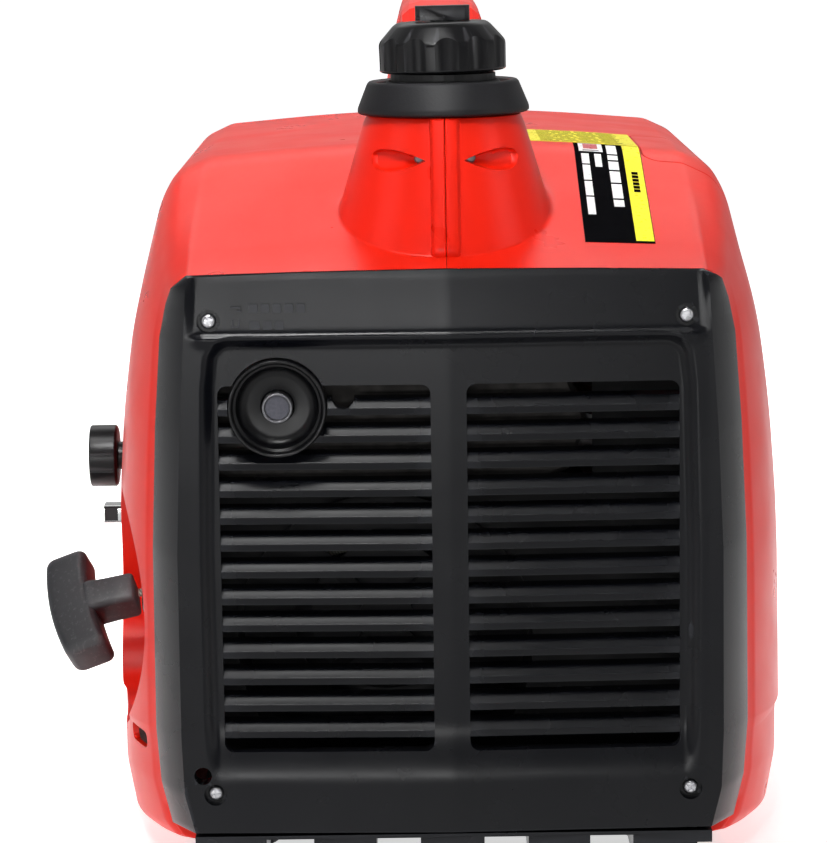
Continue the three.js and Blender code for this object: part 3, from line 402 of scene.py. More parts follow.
RUBBER = plastic("seal_rubber", lin(19, 19, 22), lin(15, 15, 18), rough=(0.45, 0.6), grain=700, grain_h=0.0002, gs=0.3, dust=(0.1, lin(90, 90, 94)), spec=0.3)
PLATE = plastic("plate_grey", lin(62, 64, 70), lin(56, 58, 64), rough=(0.4, 0.5), grain=1500, grain_h=0.00008, gs=0.3, wear_and_highlight=(0.3, lin(120, 122, 126)))
GLOSSBLK = plastic("outlet_black", lin(24, 24, 26), lin(20, 20, 22), rough=(0.2, 0.3), grain=1000, grain_h=0.00003, gs=0.1)
TANK = plastic("tank_plastic", lin(24, 24, 26), lin(19, 19, 21), rough=(0.5, 0.6), grain=300, grain_h=0.0003, gs=0.3)
STRAIN = plastic("strainer_white", lin(208, 208, 200), lin(190, 190, 180), rough=(0.5, 0.6), grain=900)
PULLEY = plastic("pulley_nylon", lin(46, 46, 48), lin(36, 36, 38), rough=(0.45, 0.6), grain=600)
ORANGE = plastic("filler_orange", lin(214, 96, 30), lin(200, 84, 24), rough=(0.4, 0.5), grain=900)
BUTTON = plastic("button_red", lin(196, 40, 30), lin(182, 32, 24), rough=(0.25, 0.35), grain=900, grain_h=0.00004)
CERAMIC = plastic("plug_ceramic", lin(226, 224, 216), lin(214, 210, 200), rough=(0.15, 0.25), grain=200, grain_h=0.00003)
FOAM = plastic("filter_foam", lin(70, 72, 76), lin(44, 46, 50), rough=(0.85, 0.95), grain=420, grain_h=0.0012, gs=0.8)
STEEL = metal("satin_steel", (0.60, 0.60, 0.60), (0.48, 0.48, 0.48), (0.22, 0.38), brushed=(1, 1, 30))
SCREW = metal("screw_zinc", (0.62, 0.62, 0.64), (0.42, 0.42, 0.44), (0.25, 0.45), scale=300)
CHROME = metal("chrome_trim", (0.78, 0.78, 0.78), (0.70, 0.70, 0.70), (0.08, 0.18), scale=80, bumpy=0.03)
# exhaust steel is kept near black partly as painted shade, so the muffler, shield and pipe read as the dark space
# behind the grille
EXHAUST = metal("exhaust_steel", (0.045, 0.042, 0.04), (0.026, 0.024, 0.023), (0.55, 0.75), scale=25, bumpy=0.3, dist=0.0003, metallic=0.8)
ALU = metal("cast_aluminium", (0.40, 0.41, 0.42), (0.30, 0.31, 0.32), (0.4, 0.6), scale=60, bumpy=0.4, dist=0.0003)
DULL = metal("dull_steel", (0.22, 0.22, 0.23), (0.15, 0.15, 0.16), (0.4, 0.55), scale=160)
MESHY = metal("screen_wire", (0.13, 0.13, 0.155), (0.09, 0.09, 0.11), (0.5, 0.65), scale=900, bumpy=0.6, dist=0.0003, metallic=0.6)
IRON = metal("cast_iron", (0.16, 0.16, 0.16), (0.10, 0.10, 0.10), (0.5, 0.7), scale=90, bumpy=0.5, dist=0.0004)
ROTOR = metal("rotor_steel", (0.28, 0.28, 0.29), (0.20, 0.20, 0.21), (0.3, 0.45), brushed=(30, 1, 30))
COPPER = metal("copper_winding", (0.50, 0.20, 0.08), (0.36, 0.13, 0.05), (0.3, 0.45), brushed=(1, 60, 1), bumpy=0.6, dist=0.0004)
BRASS = metal("brass_part", (0.62, 0.44, 0.18), (0.50, 0.34, 0.13), (0.22, 0.36), scale=120)


def rope_mat():
    m, nt, b = new_mat("rope_braid")
    tc = nt.nodes.new("ShaderNodeTexCoord")
    mp = nt.nodes.new("ShaderNodeMapping")
    mp.inputs["Rotation"].default_value = (0, rad(35), 0)
    nt.links.new(tc.outputs["Object"], mp.inputs["Vector"])
    w = nt.nodes.new("ShaderNodeTexWave")
    w.inputs["Scale"].default_value = 260
    w.inputs["Distortion"].default_value = 0.6
    nt.links.new(mp.outputs[0], w.inputs["Vector"])
    nt.links.new(ramp(nt, w.outputs["Fac"], [(0.25, lin(150, 146, 132)), (0.7, lin(224, 220, 208))]), b.inputs["Base Color"])
    b.inputs["Roughness"].default_value = 0.85
    bump(nt, b, w.outputs["Fac"], 0.7, 0.0004)
    return m


def lens_mat():
    m, nt, b = new_mat("lens_green")
    vec = tex_coord(nt)
    n = noise(nt, vec, 200, 2)
    nt.links.new(mix(nt, n, lin(40, 120, 60), lin(54, 150, 76)), b.inputs["Base Color"])
    b.inputs["Transmission Weight"].default_value = 0.5
    nt.links.new(mapr(nt, n, 0.08, 0.16), b.inputs["Roughness"])
    return m


def label_mat(name, c1, c2, rough=0.3, spec=0.4):
    m, nt, b = new_mat(name)
    vec = tex_coord(nt)
    n = noise(nt, vec, 120, 4)
    nt.links.new(mix(nt, mapr(nt, n, 0, 1), c1, c2), b.inputs["Base Color"])
    nt.links.new(mapr(nt, noise(nt, vec, 500, 3), rough - 0.05, rough + 0.08), b.inputs["Roughness"])
    b.inputs["Specular IOR Level"].default_value = spec
    bump(nt, b, n, 0.08, 0.0001)
    return m


ROPE, LENS = rope_mat(), lens_mat()
LBLACK = label_mat("label_black", lin(14, 14, 16), lin(10, 10, 12), 0.3, 0.0)
LYELLOW = label_mat("label_yellow", lin(244, 236, 20), lin(236, 226, 10), 0.3, 0.1)
LWHITE = label_mat("label_white", lin(238, 238, 238), lin(226, 226, 226), 0.3)
LRED = label_mat("label_red", lin(196, 66, 66), lin(186, 56, 58), 0.3)

# ------------------------------------------------------------------ body surface, as in the design
HALF_L, RIDGE, SEAM, WALL = 250.0, 4.0, 0.15, 2.8
CREST_REAR, CREST_FRONT = 130.0, 118.0
FILLER_Y, TOWER_TOP, TOWER_R, TOWER_SLOPE = -184.0, 342.0, 35.5, 0.298
FULL = [(127, 9), (144.5, 9.2), (151, 12.8), (155.2, 37), (155.2, 44.5), (155.2, 50), (155.2, 56), (155.4, 61), (157, 63),
        (156, 150), (152, 205), (146, 250), (135, 299), (128, 311), (113, 318), (62, 322.4), (SEAM, 325)]
RIM = [(119, 12, 24), (124.5, 13.5, 24), (129, 21, 23), (133.6, 41, 22), (133.9, 44.7, 22), (134.1, 49, 22), (134.5, 54.5, 22), (134.8, 59.5, 22), (135.4, 66, 22),
       (134.8, 150, 22), (132.4, 205, 22), (129.4, 246, 21.5), (126, 261.5, 18), (122.4, 271, 11), (115.6, 275.8, 4), (62, 277.2, 3), (SEAM, 278, 3)]
FILLET = [0, 2, 3, 3, 0, 0, 0, 0.5, 0.6, 34, 26, 18, 9, 5.5, 2.6, 20, 0]
NK = len(FULL)


def ridge(x):
    return RIDGE * max(0.0, 1 - abs(x) / 116)


def smoothmin(t, w=0.1):
    return t if t < 1 - w else 1.0 if t > 1 + w else t - (t - 1 + w) ** 2 / (4 * w)


def half_point(k, d, crest):
    rx, rz, rd = RIM[k]
    fx, fz = FULL[k]
    s = min(1, max(0, (d - rd) / (100 - rd)))
    flare = 1 - (1 - s) ** 2.1
    slope = smoothmin(max(0, d - rd) / (crest - rd))
    roof = 1 if k >= 12 else 0.45 if k >= 11 else 0
    b = min(1, max(0, (d - (100 if crest > 125 else 88)) / 42))
    bulge = 3.5 * b * b * (3 - 2 * b) * (0.5 if k == 11 else 1) if 3 <= k <= 11 else 0
    return rx + (fx - rx) * (slope if k >= 14 else flare) + bulge, rz + (fz - rz) * (roof * slope + (1 - roof) * flare)


def section(pts):
    """Fillets and densifies one section; every section gets the same number of points."""
    out = []
    pts = [np.array(p, float) for p in pts]
    for i, p in enumerate(pts):
        r = FILLET[i]
        if 0 < i < NK - 1 and r > 0:
            a, b = pts[i - 1] - p, pts[i + 1] - p
            la, lb = np.linalg.norm(a), np.linalg.norm(b)
            d = min(r, la * 0.47, lb * 0.47)
            A, B = p + a / la * d, p + b / lb * d
            n = 3 if r < 2 else 6
            for j in range(n + 1):
                t = j / n
                out.append((1 - t) ** 2 * A + 2 * t * (1 - t) * p + t * t * B)
        else:
            out.append(p)
        if i < NK - 1:
            q = pts[i + 1]
            ln = np.linalg.norm(np.array(FULL[i + 1], float) - np.array(FULL[i], float))
            m = max(0, int(ln / 9) - 1)
            if m:
                a = out[-1]
                rn = FILLET[i + 1] if i + 1 < NK - 1 else 0
                lb = np.linalg.norm(q - p)
                e = q + (p - q) / lb * min(rn, lb * 0.47)
                for j in range(1, m + 1):
                    out.append(a + (e - a) * j / (m + 1))
    return out


def rows(sgn=1):
    """Outer surface of one shell half as rows of points along the body."""
    def ring_at(fn_xy_y):
        pts = [fn_xy_y(k) for k in range(NK)]
        sec = section([(p[0], p[1]) for p in pts])
        # y would follow the same fillets; this is switched off and ys stays None
        ys = section([(p[0], p[2]) for p in pts]) if False else None
        return pts, sec
    out = []
    # rim rows: y varies with the point, so it is carried through the same weights
    def full_row(d, crest, front):
        pts = [half_point(k, d, crest) for k in range(NK)]
        sec = section(pts)
        y = HALF_L - d if front else -HALF_L + d
        return [(p[0], y, p[1]) for p in sec]

    def rim_row(extra, front, drop_in):
        pts = [(RIM[k][0], RIM[k][1]) for k in range(NK)]
        sec = section(pts)
        # distance behind the face for each point, read from the nearest place on the outline
        segs = []
        for i in range(NK - 1):
            segs.append((np.array(pts[i], float), np.array(pts[i + 1], float), RIM[i][2], RIM[i + 1][2]))
        row = []
        for p in sec:
            best = None
            for a, b, da, db in segs:
                ab = b - a
                t = min(1, max(0, float((p - a) @ ab / (ab @ ab))))
                dist = np.linalg.norm(p - (a + ab * t))
                if best is None or dist < best[0]:
                    best = (dist, da + (db - da) * t)
            d = best[1] + 0.8 + extra
            y = HALF_L - d if front else -HALF_L - ridge(p[0]) + d
            row.append([p[0], y, p[1]])
        if drop_in:
            nrm = normals2d(row)
            for q, n in zip(row, nrm):
                q[0] -= n[0] * drop_in
                q[2] -= n[1] * drop_in
        row[-1][0] = SEAM
        return [tuple(q) for q in row]
    for extra, ins in ((0.0, 1.3), (0.25, 0.65), (0.75, 0.22), (1.6, 0.0)):
        out.append(rim_row(extra, False, ins))
    for d in (28, 31, 34, 38, 42, 47, 52, 58, 64, 71, 78, 86, 94, 102, 108, 112, 115, 118, 121, 124, 127, 130, 133, 136, 139, 142, 145):
        out.append(full_row(d, CREST_REAR, False))
    for y in range(-96, 108, 12):
        out.append(full_row(145, CREST_REAR, False) if False else [(p[0], y, p[2]) for p in full_row(150, CREST_REAR, False)])
    for d in (136, 132, 129, 126, 123, 120, 117, 114, 111, 108, 105, 102, 96, 88, 80, 72, 65, 58, 52, 47, 42, 38, 34, 31, 28):
        out.append(full_row(d, CREST_FRONT, True))
    for extra, ins in ((1.6, 0.0), (0.75, 0.22), (0.25, 0.65), (0.0, 1.3)):
        out.append(rim_row(extra, True, ins))
    for r in out:
        r[-1] = (SEAM, r[-1][1], r[-1][2])
    return out


def normals2d(row):
    n = len(row)
    res = []
    for i in range(n):
        a, b = row[max(0, i - 1)], row[min(n - 1, i + 1)]
        t = np.array([b[0] - a[0], b[2] - a[2]], float)
        ln = np.linalg.norm(t) or 1
        res.append((t[1] / ln, -t[0] / ln))
    return res


ROWS = rows()


def shell_half(sgn, name):
    outer = ROWS
    inner = []
    for row in outer:
        nr = normals2d(row)
        inner.append([(max(SEAM, p[0] - n[0] * WALL), p[1], p[2] - n[1] * WALL) for p, n in zip(row, nr)])
        inner[-1][-1] = (SEAM, row[-1][1], inner[-1][-1][2])
    m, n = len(outer), len(outer[0])
    verts = [(sgn * p[0], p[1], p[2]) for g in (outer, inner) for r in g for p in r]
    o = lambda s, k: s * n + k
    i = lambda s, k: (m + s) * n + k
    faces = []
    for s in range(m - 1):
        for k in range(n - 1):
            faces.append((o(s, k), o(s + 1, k), o(s + 1, k + 1), o(s, k + 1)))
            faces.append((i(s, k), i(s, k + 1), i(s + 1, k + 1), i(s + 1, k)))
    for k in range(n - 1):
        faces.append((o(0, k), o(0, k + 1), i(0, k + 1), i(0, k)))
        faces.append((o(m - 1, k), i(m - 1, k), i(m - 1, k + 1), o(m - 1, k + 1)))
    for s in range(m - 1):
        faces.append((o(s + 1, 0), o(s, 0), i(s, 0), i(s + 1, 0)))
        faces.append((o(s, n - 1), o(s + 1, n - 1), i(s + 1, n - 1), i(s, n - 1)))
    return raw(name, verts, faces)


def roof_z(x, y):
    """Height of the outer roof surface between the corner lines."""
    d = y + HALF_L if y < 0 else HALF_L - y
    crest = CREST_REAR if y < 0 else CREST_FRONT
    pts = [half_point(k, d, crest) for k in (14, 15, 16)]
    ax = abs(x)
    (x2, z2), (x1, z1), (x0, z0) = pts
    if ax <= x1:
        t = (ax - x0) / (x1 - x0)
        t = max(0, t)
        lin_z = z0 + (z1 - z0) * t
    else:
        t = (ax - x1) / (x2 - x1)
        lin_z = z1 + (z2 - z1) * t
    # the middle corner of the section is rounded over 20 mm each side
    dd = 20.0
    if x1 - dd < ax < x1 + dd:
        s0, s1 = (z1 - z0) / (x1 - x0), (z2 - z1) / (x2 - x1)
        u = (ax - (x1 - dd)) / (2 * dd)
        za, zb = z1 - s0 * dd, z1 + s1 * dd
        return (1 - u) ** 2 * za + 2 * u * (1 - u) * z1 + u * u * zb
    return lin_z


def tower_r(z):
    return TOWER_R + TOWER_SLOPE * (TOWER_TOP - z)


def tower_half(sgn):
    """Filler tower skin for one half: cone, a fillet that grows towards the sides, and a hem that lies on the slope."""
    rings = []
    N = 60
    for i in range(N + 1):
        th = -math.pi / 2 + math.pi * i / N          # front to back
        cx, sy = math.cos(th), math.sin(th)
        # where the cone meets the roof
        lo, hi = 250.0, 341.0
        for _ in range(40):
            z = (lo + hi) / 2
            r = tower_r(z)
            if z > roof_z(r * cx, FILLER_Y + r * sy):
                hi = z
            else:
                lo = z
        zc = (lo + hi) / 2
        rc = tower_r(zc)
        ang = math.degrees(th) + 90                   # 0 at the front
        t = min(1, max(0, (ang - 40) / 80))
        f = 0.9 + (1.6 if sgn < 0 else 4.5) * t * t * (3 - 2 * t)
        f = min(f, (TOWER_TOP - zc) * 0.7)
        prof = []
        # outer surface downwards
        prof += [(TOWER_R - 6.2, TOWER_TOP - 0.0), (TOWER_R - 1.2, TOWER_TOP), (TOWER_R - 0.35, TOWER_TOP - 0.35), (TOWER_R + 0.05, TOWER_TOP - 1.3)]
        top_z, bot_z = TOWER_TOP - 1.3, zc + f
        for j in range(1, 11):
            z = top_z + (bot_z - top_z) * j / 10
            prof.append((tower_r(z), z))
        A = np.array([tower_r(zc + f), zc + f])
        re = rc + f * 1.15
        B = np.array([re, roof_z(re * cx, FILLER_Y + re * sy) + 0.03])
        C = np.array([rc, zc + 0.02])
        for j in range(1, 9):
            u = j / 8
            q = (1 - u) ** 2 * A + 2 * u * (1 - u) * C + u * u * B
            prof.append((q[0], q[1]))
        r2 = re + 1.0
        prof.append((r2, roof_z(r2 * cx, FILLER_Y + r2 * sy) - 0.02))
        prof.append((r2, roof_z(r2 * cx, FILLER_Y + r2 * sy) - 1.3))
        zi = roof_z(rc * cx, FILLER_Y + rc * sy) - 2.2
        prof.append((max(rc - 1.5, tower_r(zi) - 3), zi))
        zb = zi - 1.0
        prof.append((tower_r(zb) - 6.3, zb))
        rings.append([(sgn * (SEAM + r * cx), FILLER_Y + r * sy, z) for r, z in prof])
    n = len(rings[0])
    verts = [p for r in rings for p in r]
    faces = []
    for s in range(N):
        for k in range(n):
            a, b = s * n + k, s * n + (k + 1) % n
            faces.append((a, b, b + n, a + n))
    faces.append(tuple(range(n)))
    faces.append(tuple(range(N * n, N * n + n)))
    return raw("t", verts, faces)


def rib_half(sgn, back=False):
    """Raised strip beside the seam, rounded in section, with a chamfered lower end."""
    rings = []
    zs = [TOWER_TOP - 0.02, TOWER_TOP - 0.8] + [TOWER_TOP - 4 - i * 6 for i in range(9)]
    zs += [286, 283.0, 281.2, 279.9]
    if back:
        zs = [TOWER_TOP - 0.02, TOWER_TOP - 0.8, 338, 334, 330, 327, 324.6]
    for j, z in enumerate(zs):
        proud = 2.7
        if j == 0:
            proud = 2.0
        if not back and z < 284:
            proud = 2.7 - (284 - z) * 0.75
        yb = FILLER_Y - tower_r(z) if not back else FILLER_Y + tower_r(z)
        dirn = -1 if not back else 1
        w = 6.2
        pts = [(SEAM, 3.0), (SEAM, -proud + 0.5), (SEAM + 0.5, -proud), (w - 2.1, -proud), (w - 0.9, -proud + 0.45), (w - 0.15, -proud + 1.5), (w + 0.25, -0.1), (w + 0.6, 0.9), (w + 0.6, 3.0)]
        rings.append([(sgn * x, yb - dirn * dy if False else yb + (dy if not back else -dy), z) for x, dy in pts])
    v, f = loft(rings)
    return raw("rib", v, f)


def tear(sgn):
    """Scooped screw recess: round at the outside, pointed towards the seam, deeper towards the point."""
    rings = []
    n = 28
    outline = []
    for i in range(n):
        a = 2 * math.pi * i / n
        u, w = math.cos(a), math.sin(a)
        # teardrop: point at u=-1
        x = 20.5 + 11.8 * u
        half = 6.3 * (0.5 + 0.5 * u) ** 0.6 if u > -0.999 else 0
        z = 323.2 + half * (w / (abs(w) + 1e-6)) * (abs(w) ** 0.75)
        outline.append((x, z))
    for dy, k in ((-9, 1.12), (-0.4, 1.05), (1.6, 0.98), (3.6, 0.88), (5.0, 0.62)):
        ring = []
        for x, z in outline:
            cx, cz = 16.0, 323.2
            xx, zz = cx + (x - cx) * k, cz + (z - cz) * k
            yy = FILLER_Y - math.sqrt(max(1, tower_r(zz) ** 2 - xx ** 2)) + dy + (2.0 if dy > 0 else 0) * max(0, (18 - xx) / 10)
            ring.append((sgn * xx, yy, zz))
        rings.append(ring)
    v, f = loft(rings)
    return raw("tear", v, f)


def cyl(axis, a, b, r, c, seg=32):
    return turned([(0, a), (r, a), (r, b), (0, b)], axis, c, seg)


POCKET_Y, POCKET_Z, POCKET_R, POCKET_X = -160.0, 112.0, 58.0, -128.0
ROPE_Y, STEM_Z = -143.0, 111.3


def pocket_prof(r, x_in, x_out, fil):
    return rounded([(0, x_in), (r, x_in), (r + 1.5, x_out), (0, x_out)], [0, fil, 0, 0], 8)


full_rings = [[(p[0], p[1], p[2]) for p in r] + [(-p[0], p[1], p[2]) for p in reversed(r)] for r in ROWS]


def body_solid(name="bs"):
    v, f = loft(full_rings)
    return raw(name, v, f)


side_hole = lambda g: prism(rrect(18, 131, 140 + 2 * g, 130 + 2 * g, 8 + g, 6), "x", 120, 180)
plug_hole = lambda g: prism(rrect(120 + 30, -81.5, 110 + 2 * g, 103 + 2 * g, 9 + g, 6), "z", 262 - g, 345)

right = shell_half(1, "shell_right")
left = shell_half(-1, "shell_left")
bore = turned([(0, 255), (tower_r(255) - 6.4, 255), (TOWER_R - 6.2, TOWER_TOP + 1), (0, TOWER_TOP + 1)], "z", (0, FILLER_Y, 0), 72)

boolean(right, "DIFFERENCE", raw("c", *turned([(0, 262), (tower_r(262) - 4.5, 262), (tower_r(330) - 4.5, 330), (0, 330)], "z", (0, FILLER_Y, 0), 72)))
boolean(left, "DIFFERENCE", raw("c", *turned([(0, 262), (tower_r(262) - 4.5, 262), (tower_r(330) - 4.5, 330), (0, 330)], "z", (0, FILLER_Y, 0), 72)))
boolean(right, "UNION", tower_half(1), rib_half(1), rib_half(1, True))
boolean(left, "UNION", tower_half(-1), rib_half(-1), rib_half(-1, True))
# covers are cut from the same skin
cover = right.copy(); cover.data = right.data.copy(); link(cover); cover.name = "cover_side"
pcover = right.copy(); pcover.data = right.data.copy(); link(pcover); pcover.name = "cover_plug"
boolean(cover, "INTERSECT", raw("c", *side_hole(0)))
boolean(pcover, "INTERSECT", raw("c", *plug_hole(0)))
boolean(right, "DIFFERENCE", raw("c", *side_hole(0.6)), raw("c", *plug_hole(0.55)), tear(1),
        *[raw("c", *prism(rrect(123.5 + 13 * i, 141, 7, 90, 3.4, 5), "x", 120, 180)) for i in range(3)])
# starter pocket
bowl = raw("bowl", *turned(pocket_prof(POCKET_R + WALL, POCKET_X + WALL, -175, 7), "x", (0, POCKET_Y, POCKET_Z), 96))
boolean(bowl, "DIFFERENCE", raw("c", *turned(pocket_prof(POCKET_R, POCKET_X, -185, 6), "x", (0, POCKET_Y, POCKET_Z), 96)))
boolean(bowl, "INTERSECT", body_solid())
boolean(bowl, "DIFFERENCE", raw("c", *cyl("x", -150, -110, 7.2, (0, ROPE_Y, STEM_Z))))
boolean(left, "DIFFERENCE", raw("c", *turned(pocket_prof(POCKET_R + 0.4, POCKET_X - 3, -185, 6), "x", (0, POCKET_Y, POCKET_Z), 96)))
boolean(left, "UNION", bowl)
boolean(left, "DIFFERENCE", raw("c", *cyl("x", -180, -130, 7.5, (0, -105, 172))),
        raw("c", *prism(rrect(-82, 139.5, 32, 7.4, 3, 5), "x", -180, -130)), tear(-1),
        raw("c", *prism(rrect(-205, 57, 22, 8, 3, 5), "x", -180, -136)),
        *[raw("c", *prism(rrect(38 + 15 * i, 137, 8, 106, 3.9, 5), "x", -180, -120)) for i in range(4)])
for o in (left, right, cover, pcover):
    bevel(o, 0.45, 2, 50, harden=False)
done(right, RED, "root", "right_shell", 32)
done(left, RED, "root", "left_shell", 32)
done(cover, RED, "side_cover", "side_cover", 32)
done(pcover, RED, "plug_cover", "plug_cover", 32)

# ------------------------------------------------------------------ CAD nodes that stay, with their materials
KEEP = {
    "base_tray": BLACK, "foot_1": RUBBER, "foot_2": RUBBER, "foot_3": RUBBER, "foot_4": RUBBER, "rear_panel": BLACK, "front_panel": BLACK,
    "rear_screw_1": SCREW, "rear_screw_2": SCREW, "rear_screw_3": SCREW, "rear_screw_4": SCREW, "carry_handle": RED,
    "fuel_tank": TANK, "fuel_strainer": STRAIN, "neck_seal": RUBBER, "fuel_cap": DARK, "cap_gasket": RUBBER, "vent_knob": DARK, "fuel_valve": BRASS, "fuel_hose": RUBBER,
    "outlet_dish": DARK, "tail_pipe": STEEL, "muffler": EXHAUST, "muffler_shield": EXHAUST, "exhaust_pipe": EXHAUST, "recoil_housing": PIT, "recoil_pulley": PULLEY,
    "starter_rope": ROPE, "rope_guide": STEEL, "cooling_fan": PIT, "flywheel_rotor": ROTOR, "stator": COPPER, "crankshaft": STEEL, "crankcase": ALU, "crankcase_cover": ALU,
    "cylinder": IRON, "cylinder_head": ALU, "rocker_cover": ALU, "spark_plug": CERAMIC, "plug_boot": RUBBER, "oil_filler_cap": ORANGE, "carburetor": ALU,
    "air_cleaner_case": DARK, "air_filter": FOAM, "inverter_unit": ALU, "control_panel": PLATE, "ac_outlet_1": GLOSSBLK, "ac_outlet_2": GLOSSBLK, "dc_outlet": GLOSSBLK,
    "breaker_button": BUTTON, "eco_switch": GLOSSBLK, "indicator_lens": LENS, "ground_terminal": BRASS, "engine_knob": DARK, "choke_lever": DARK, "pull_handle": GRIP,
}
REPLACED = {"right_shell", "left_shell", "side_cover", "plug_cover", "rear_panel", "rear_screw_1", "rear_screw_2", "rear_screw_3", "rear_screw_4", "outlet_dish", "tail_pipe",
            "neck_seal", "fuel_cap", "vent_knob", "engine_knob", "choke_lever", "pull_handle", "rope_guide", "starter_rope"}


def keep_nodes():
    for n, o in NODES.items():
        if n in REPLACED:
            continue
        o.data.materials.clear()
        o.data.materials.append(KEEP[n])
        smooth(o, 28)
        if n not in ("starter_rope",):
            bevel(o, 0.35, 2, 32, harden=False)




# ------------------------------------------------------------------ rear panel
FACE = {2: (117, 22), 3: (121.5, 40), 8: (122.4, 66), 9: (122.2, 150), 10: (120, 205), 11: (117.4, 245), 12: (116.6, 259), 13: (115.8, 270), 14: (114.8, 275)}
OUTLET = (-76.3, 0, 216.2)
SCREWS = [(-106, 255.5), (106, 255.5), (-107.5, 40), (107.5, 40)]


def interp(tab, v):
    tab = sorted(tab)
    if v <= tab[0][0]:
        return tab[0][1]
    for (a, x), (b, y) in zip(tab, tab[1:]):
        if v <= b:
            return x + (y - x) * (v - a) / (b - a)
    return tab[-1][1]


FX = [(z, x) for x, z in FACE.values()]
RX = [(RIM[k][1], RIM[k][0]) for k in (2, 3, 8, 9, 10, 11, 12, 13)]
RD = [(RIM[k][1], RIM[k][2]) for k in (2, 3, 8, 9, 10, 11, 12, 13)]


def sstep(a, b, v):
    t = min(1.0, max(0.0, (v - a) / (b - a)))
    return t * t * (3 - 2 * t)


def panel_depth(x, z):
    """Depth of the rear panel's face behind the flat face plane; the middle ridge is taken off it."""
    ax = abs(x)
    edge = interp([(40, 107.0), (70, 108.7), (150, 109.0), (225, 107.4), (246, 105.0)], z)
    # recess with a rounded upper corner
    dx, dz = ax - (edge - 9), z - (246 - 9)
    if dx > 0 and dz > 0:
        e = math.hypot(dx, dz) - 9
    else:
        e = max(dx, dz) - 9
    side = 1 - sstep(-3.4, 3.4, e)
    low = sstep(44, 72, z)
    d = 5.0 * side * low
    # rolled lip under the top band, and the band itself leans back a little
    band = sstep(247.5, 250.5, z)
    d += band * (0.55 + 0.075 * (z - 250)) * (1 - sstep(112.5, 115.5, ax))
    lip = math.exp(-((z - 247.2) / 2.3) ** 2) * (1 - sstep(108, 114, ax))
    d -= 1.0 * lip
    # second thin edge inside the recess, switched off: it adds nothing
    if ax < edge - 3 and 236.5 < z < 241.6:
        d += 0.7 * sstep(241.6, 240.8, z) if False else 0
    return d


def make_panel():
    zs = sorted(set([round(v, 3) for v in list(np.linspace(0, 1, 150)) + [(z - 22) / 255.0 for z in np.arange(240, 256, 0.55)]]))
    us = sorted(set([round(v, 4) for v in list(np.linspace(-1, 1, 121)) + [s * e for s in (-1, 1) for e in np.arange(0.84, 0.96, 0.006)]]))
    nz, nx = len(zs), len(us)
    verts, faces = [], []
    for v in zs:
        for u in us:
            z0 = 22 + v * 253.0
            x = u * interp(FX, z0)
            top = interp([(0, 277.6), (62, 276.8), (114.8, 275)], abs(x))
            z = 22 + v * (top - 22)
            verts.append((x, -HALF_L - ridge(x) + panel_depth(x, min(z, 275)), z))
    idx = lambda i, j: i * nx + j
    for i in range(nz - 1):
        for j in range(nx - 1):
            faces.append((idx(i, j), idx(i, j + 1), idx(i + 1, j + 1), idx(i + 1, j)))
    loop = [idx(0, j) for j in range(nx)] + [idx(i, nx - 1) for i in range(1, nz)] + [idx(nz - 1, j) for j in range(nx - 2, -1, -1)] + [idx(i, 0) for i in range(nz - 2, 0, -1)]
    kind = ["b"] * nx + ["r"] * (nz - 1) + ["t"] * (nx - 1) + ["l"] * (nz - 2)
    base = [verts[i] for i in loop]

    def rim_pt(p, k):
        x, y, z = p
        if k in "lr":
            s = 1 if k == "r" else -1
            zz = z
            if z < 30:
                zz = z - 1.0 * (30 - z) / 8
            if z > 262:
                zz = 261 + (z - 262) * 0.74
            return (s * interp(RX, zz), interp(RD, zz), zz)
        if k == "b":
            f = abs(x) / 117.0
            return (x * (1 + 0.1026 * f), 23 + 0.0 * f, 21)
        f = abs(x)
        return (math.copysign(interp([(0, 0), (62, 62), (114.8, 115.6)], f), x), 3 + (1 if f > 62 else 0) * (f - 62) / 53, interp([(0, 278), (62, 277.2), (114.8, 275.8)], f))
    rim = [rim_pt(p, k) for p, k in zip(base, kind)]
    # corner points of the top row go to the shoulder of the outline
    loops = []
    for t, pull in ((0.06, 0.35), (0.16, 0.12), (0.5, 0.0), (0.9, 0.0), (1.0, 0.0)):
        row = []
        for p, q, k in zip(base, rim, kind):
            qy = -HALF_L - ridge(q[0]) + q[1]
            bow = 1.2 * math.sin(math.pi * t) if k in "lr" else 0.0
            x = p[0] + (q[0] - p[0]) * t
            x += bow * (1 if x > 0 else -1)
            row.append((x, p[1] + (qy - p[1]) * t, p[2] + (q[2] - p[2]) * t))
        loops.append(row)
    inset = []
    for q, k in zip(rim, kind):
        ix, iz = q[0], q[2]
        if k in "lr":
            ix -= 5.2 * (1 if ix > 0 else -1)
            iz = iz - (3.5 if iz > 255 else 0)
        elif k == "t":
            iz -= 5.2
            ix *= 0.97
        else:
            ix *= 0.96
        inset.append((ix, -HALF_L - ridge(q[0]) + q[1], iz))
    loops.append(inset)
    loops.append([(x, -HALF_L - ridge(x) + 34, z) for x, y, z in inset])
    prev = loop
    for row in loops:
        start = len(verts)
        verts.extend(row)
        cur = list(range(start, start + len(row)))
        n = len(cur)
        for a in range(n):
            b = (a + 1) % n
            faces.append((prev[a], cur[a], cur[b], prev[b]))
        prev = cur
    verts.append((0, -HALF_L + 34, 150))
    c = len(verts) - 1
    for a in range(len(prev)):
        faces.append((prev[a], c, prev[(a + 1) % len(prev)]))
    return raw("grille_panel", verts, faces)


panel = make_panel()
cav = []
for k in (2, 3, 8, 9, 10, 11, 12, 13, 14, 15, 16):
    x, z, _ = RIM[k]
    cav.append((0 if k == NK - 1 else x - 8.2, z - 8.2 if k >= 12 else z - 3 if k == 11 else max(z, 25)))
cav = cav + [(-x, z) for x, z in reversed(cav[:-1])]
boolean(panel, "DIFFERENCE", raw("c", *prism(cav, "y", -HALF_L + 9, -100)))


def win(sg, g=0.0):
    return prism(rrect(sg * 55.5, 142.5, 95 + 2 * g, 167 + 2 * g, 4.2, 6), "y", -300, -215)


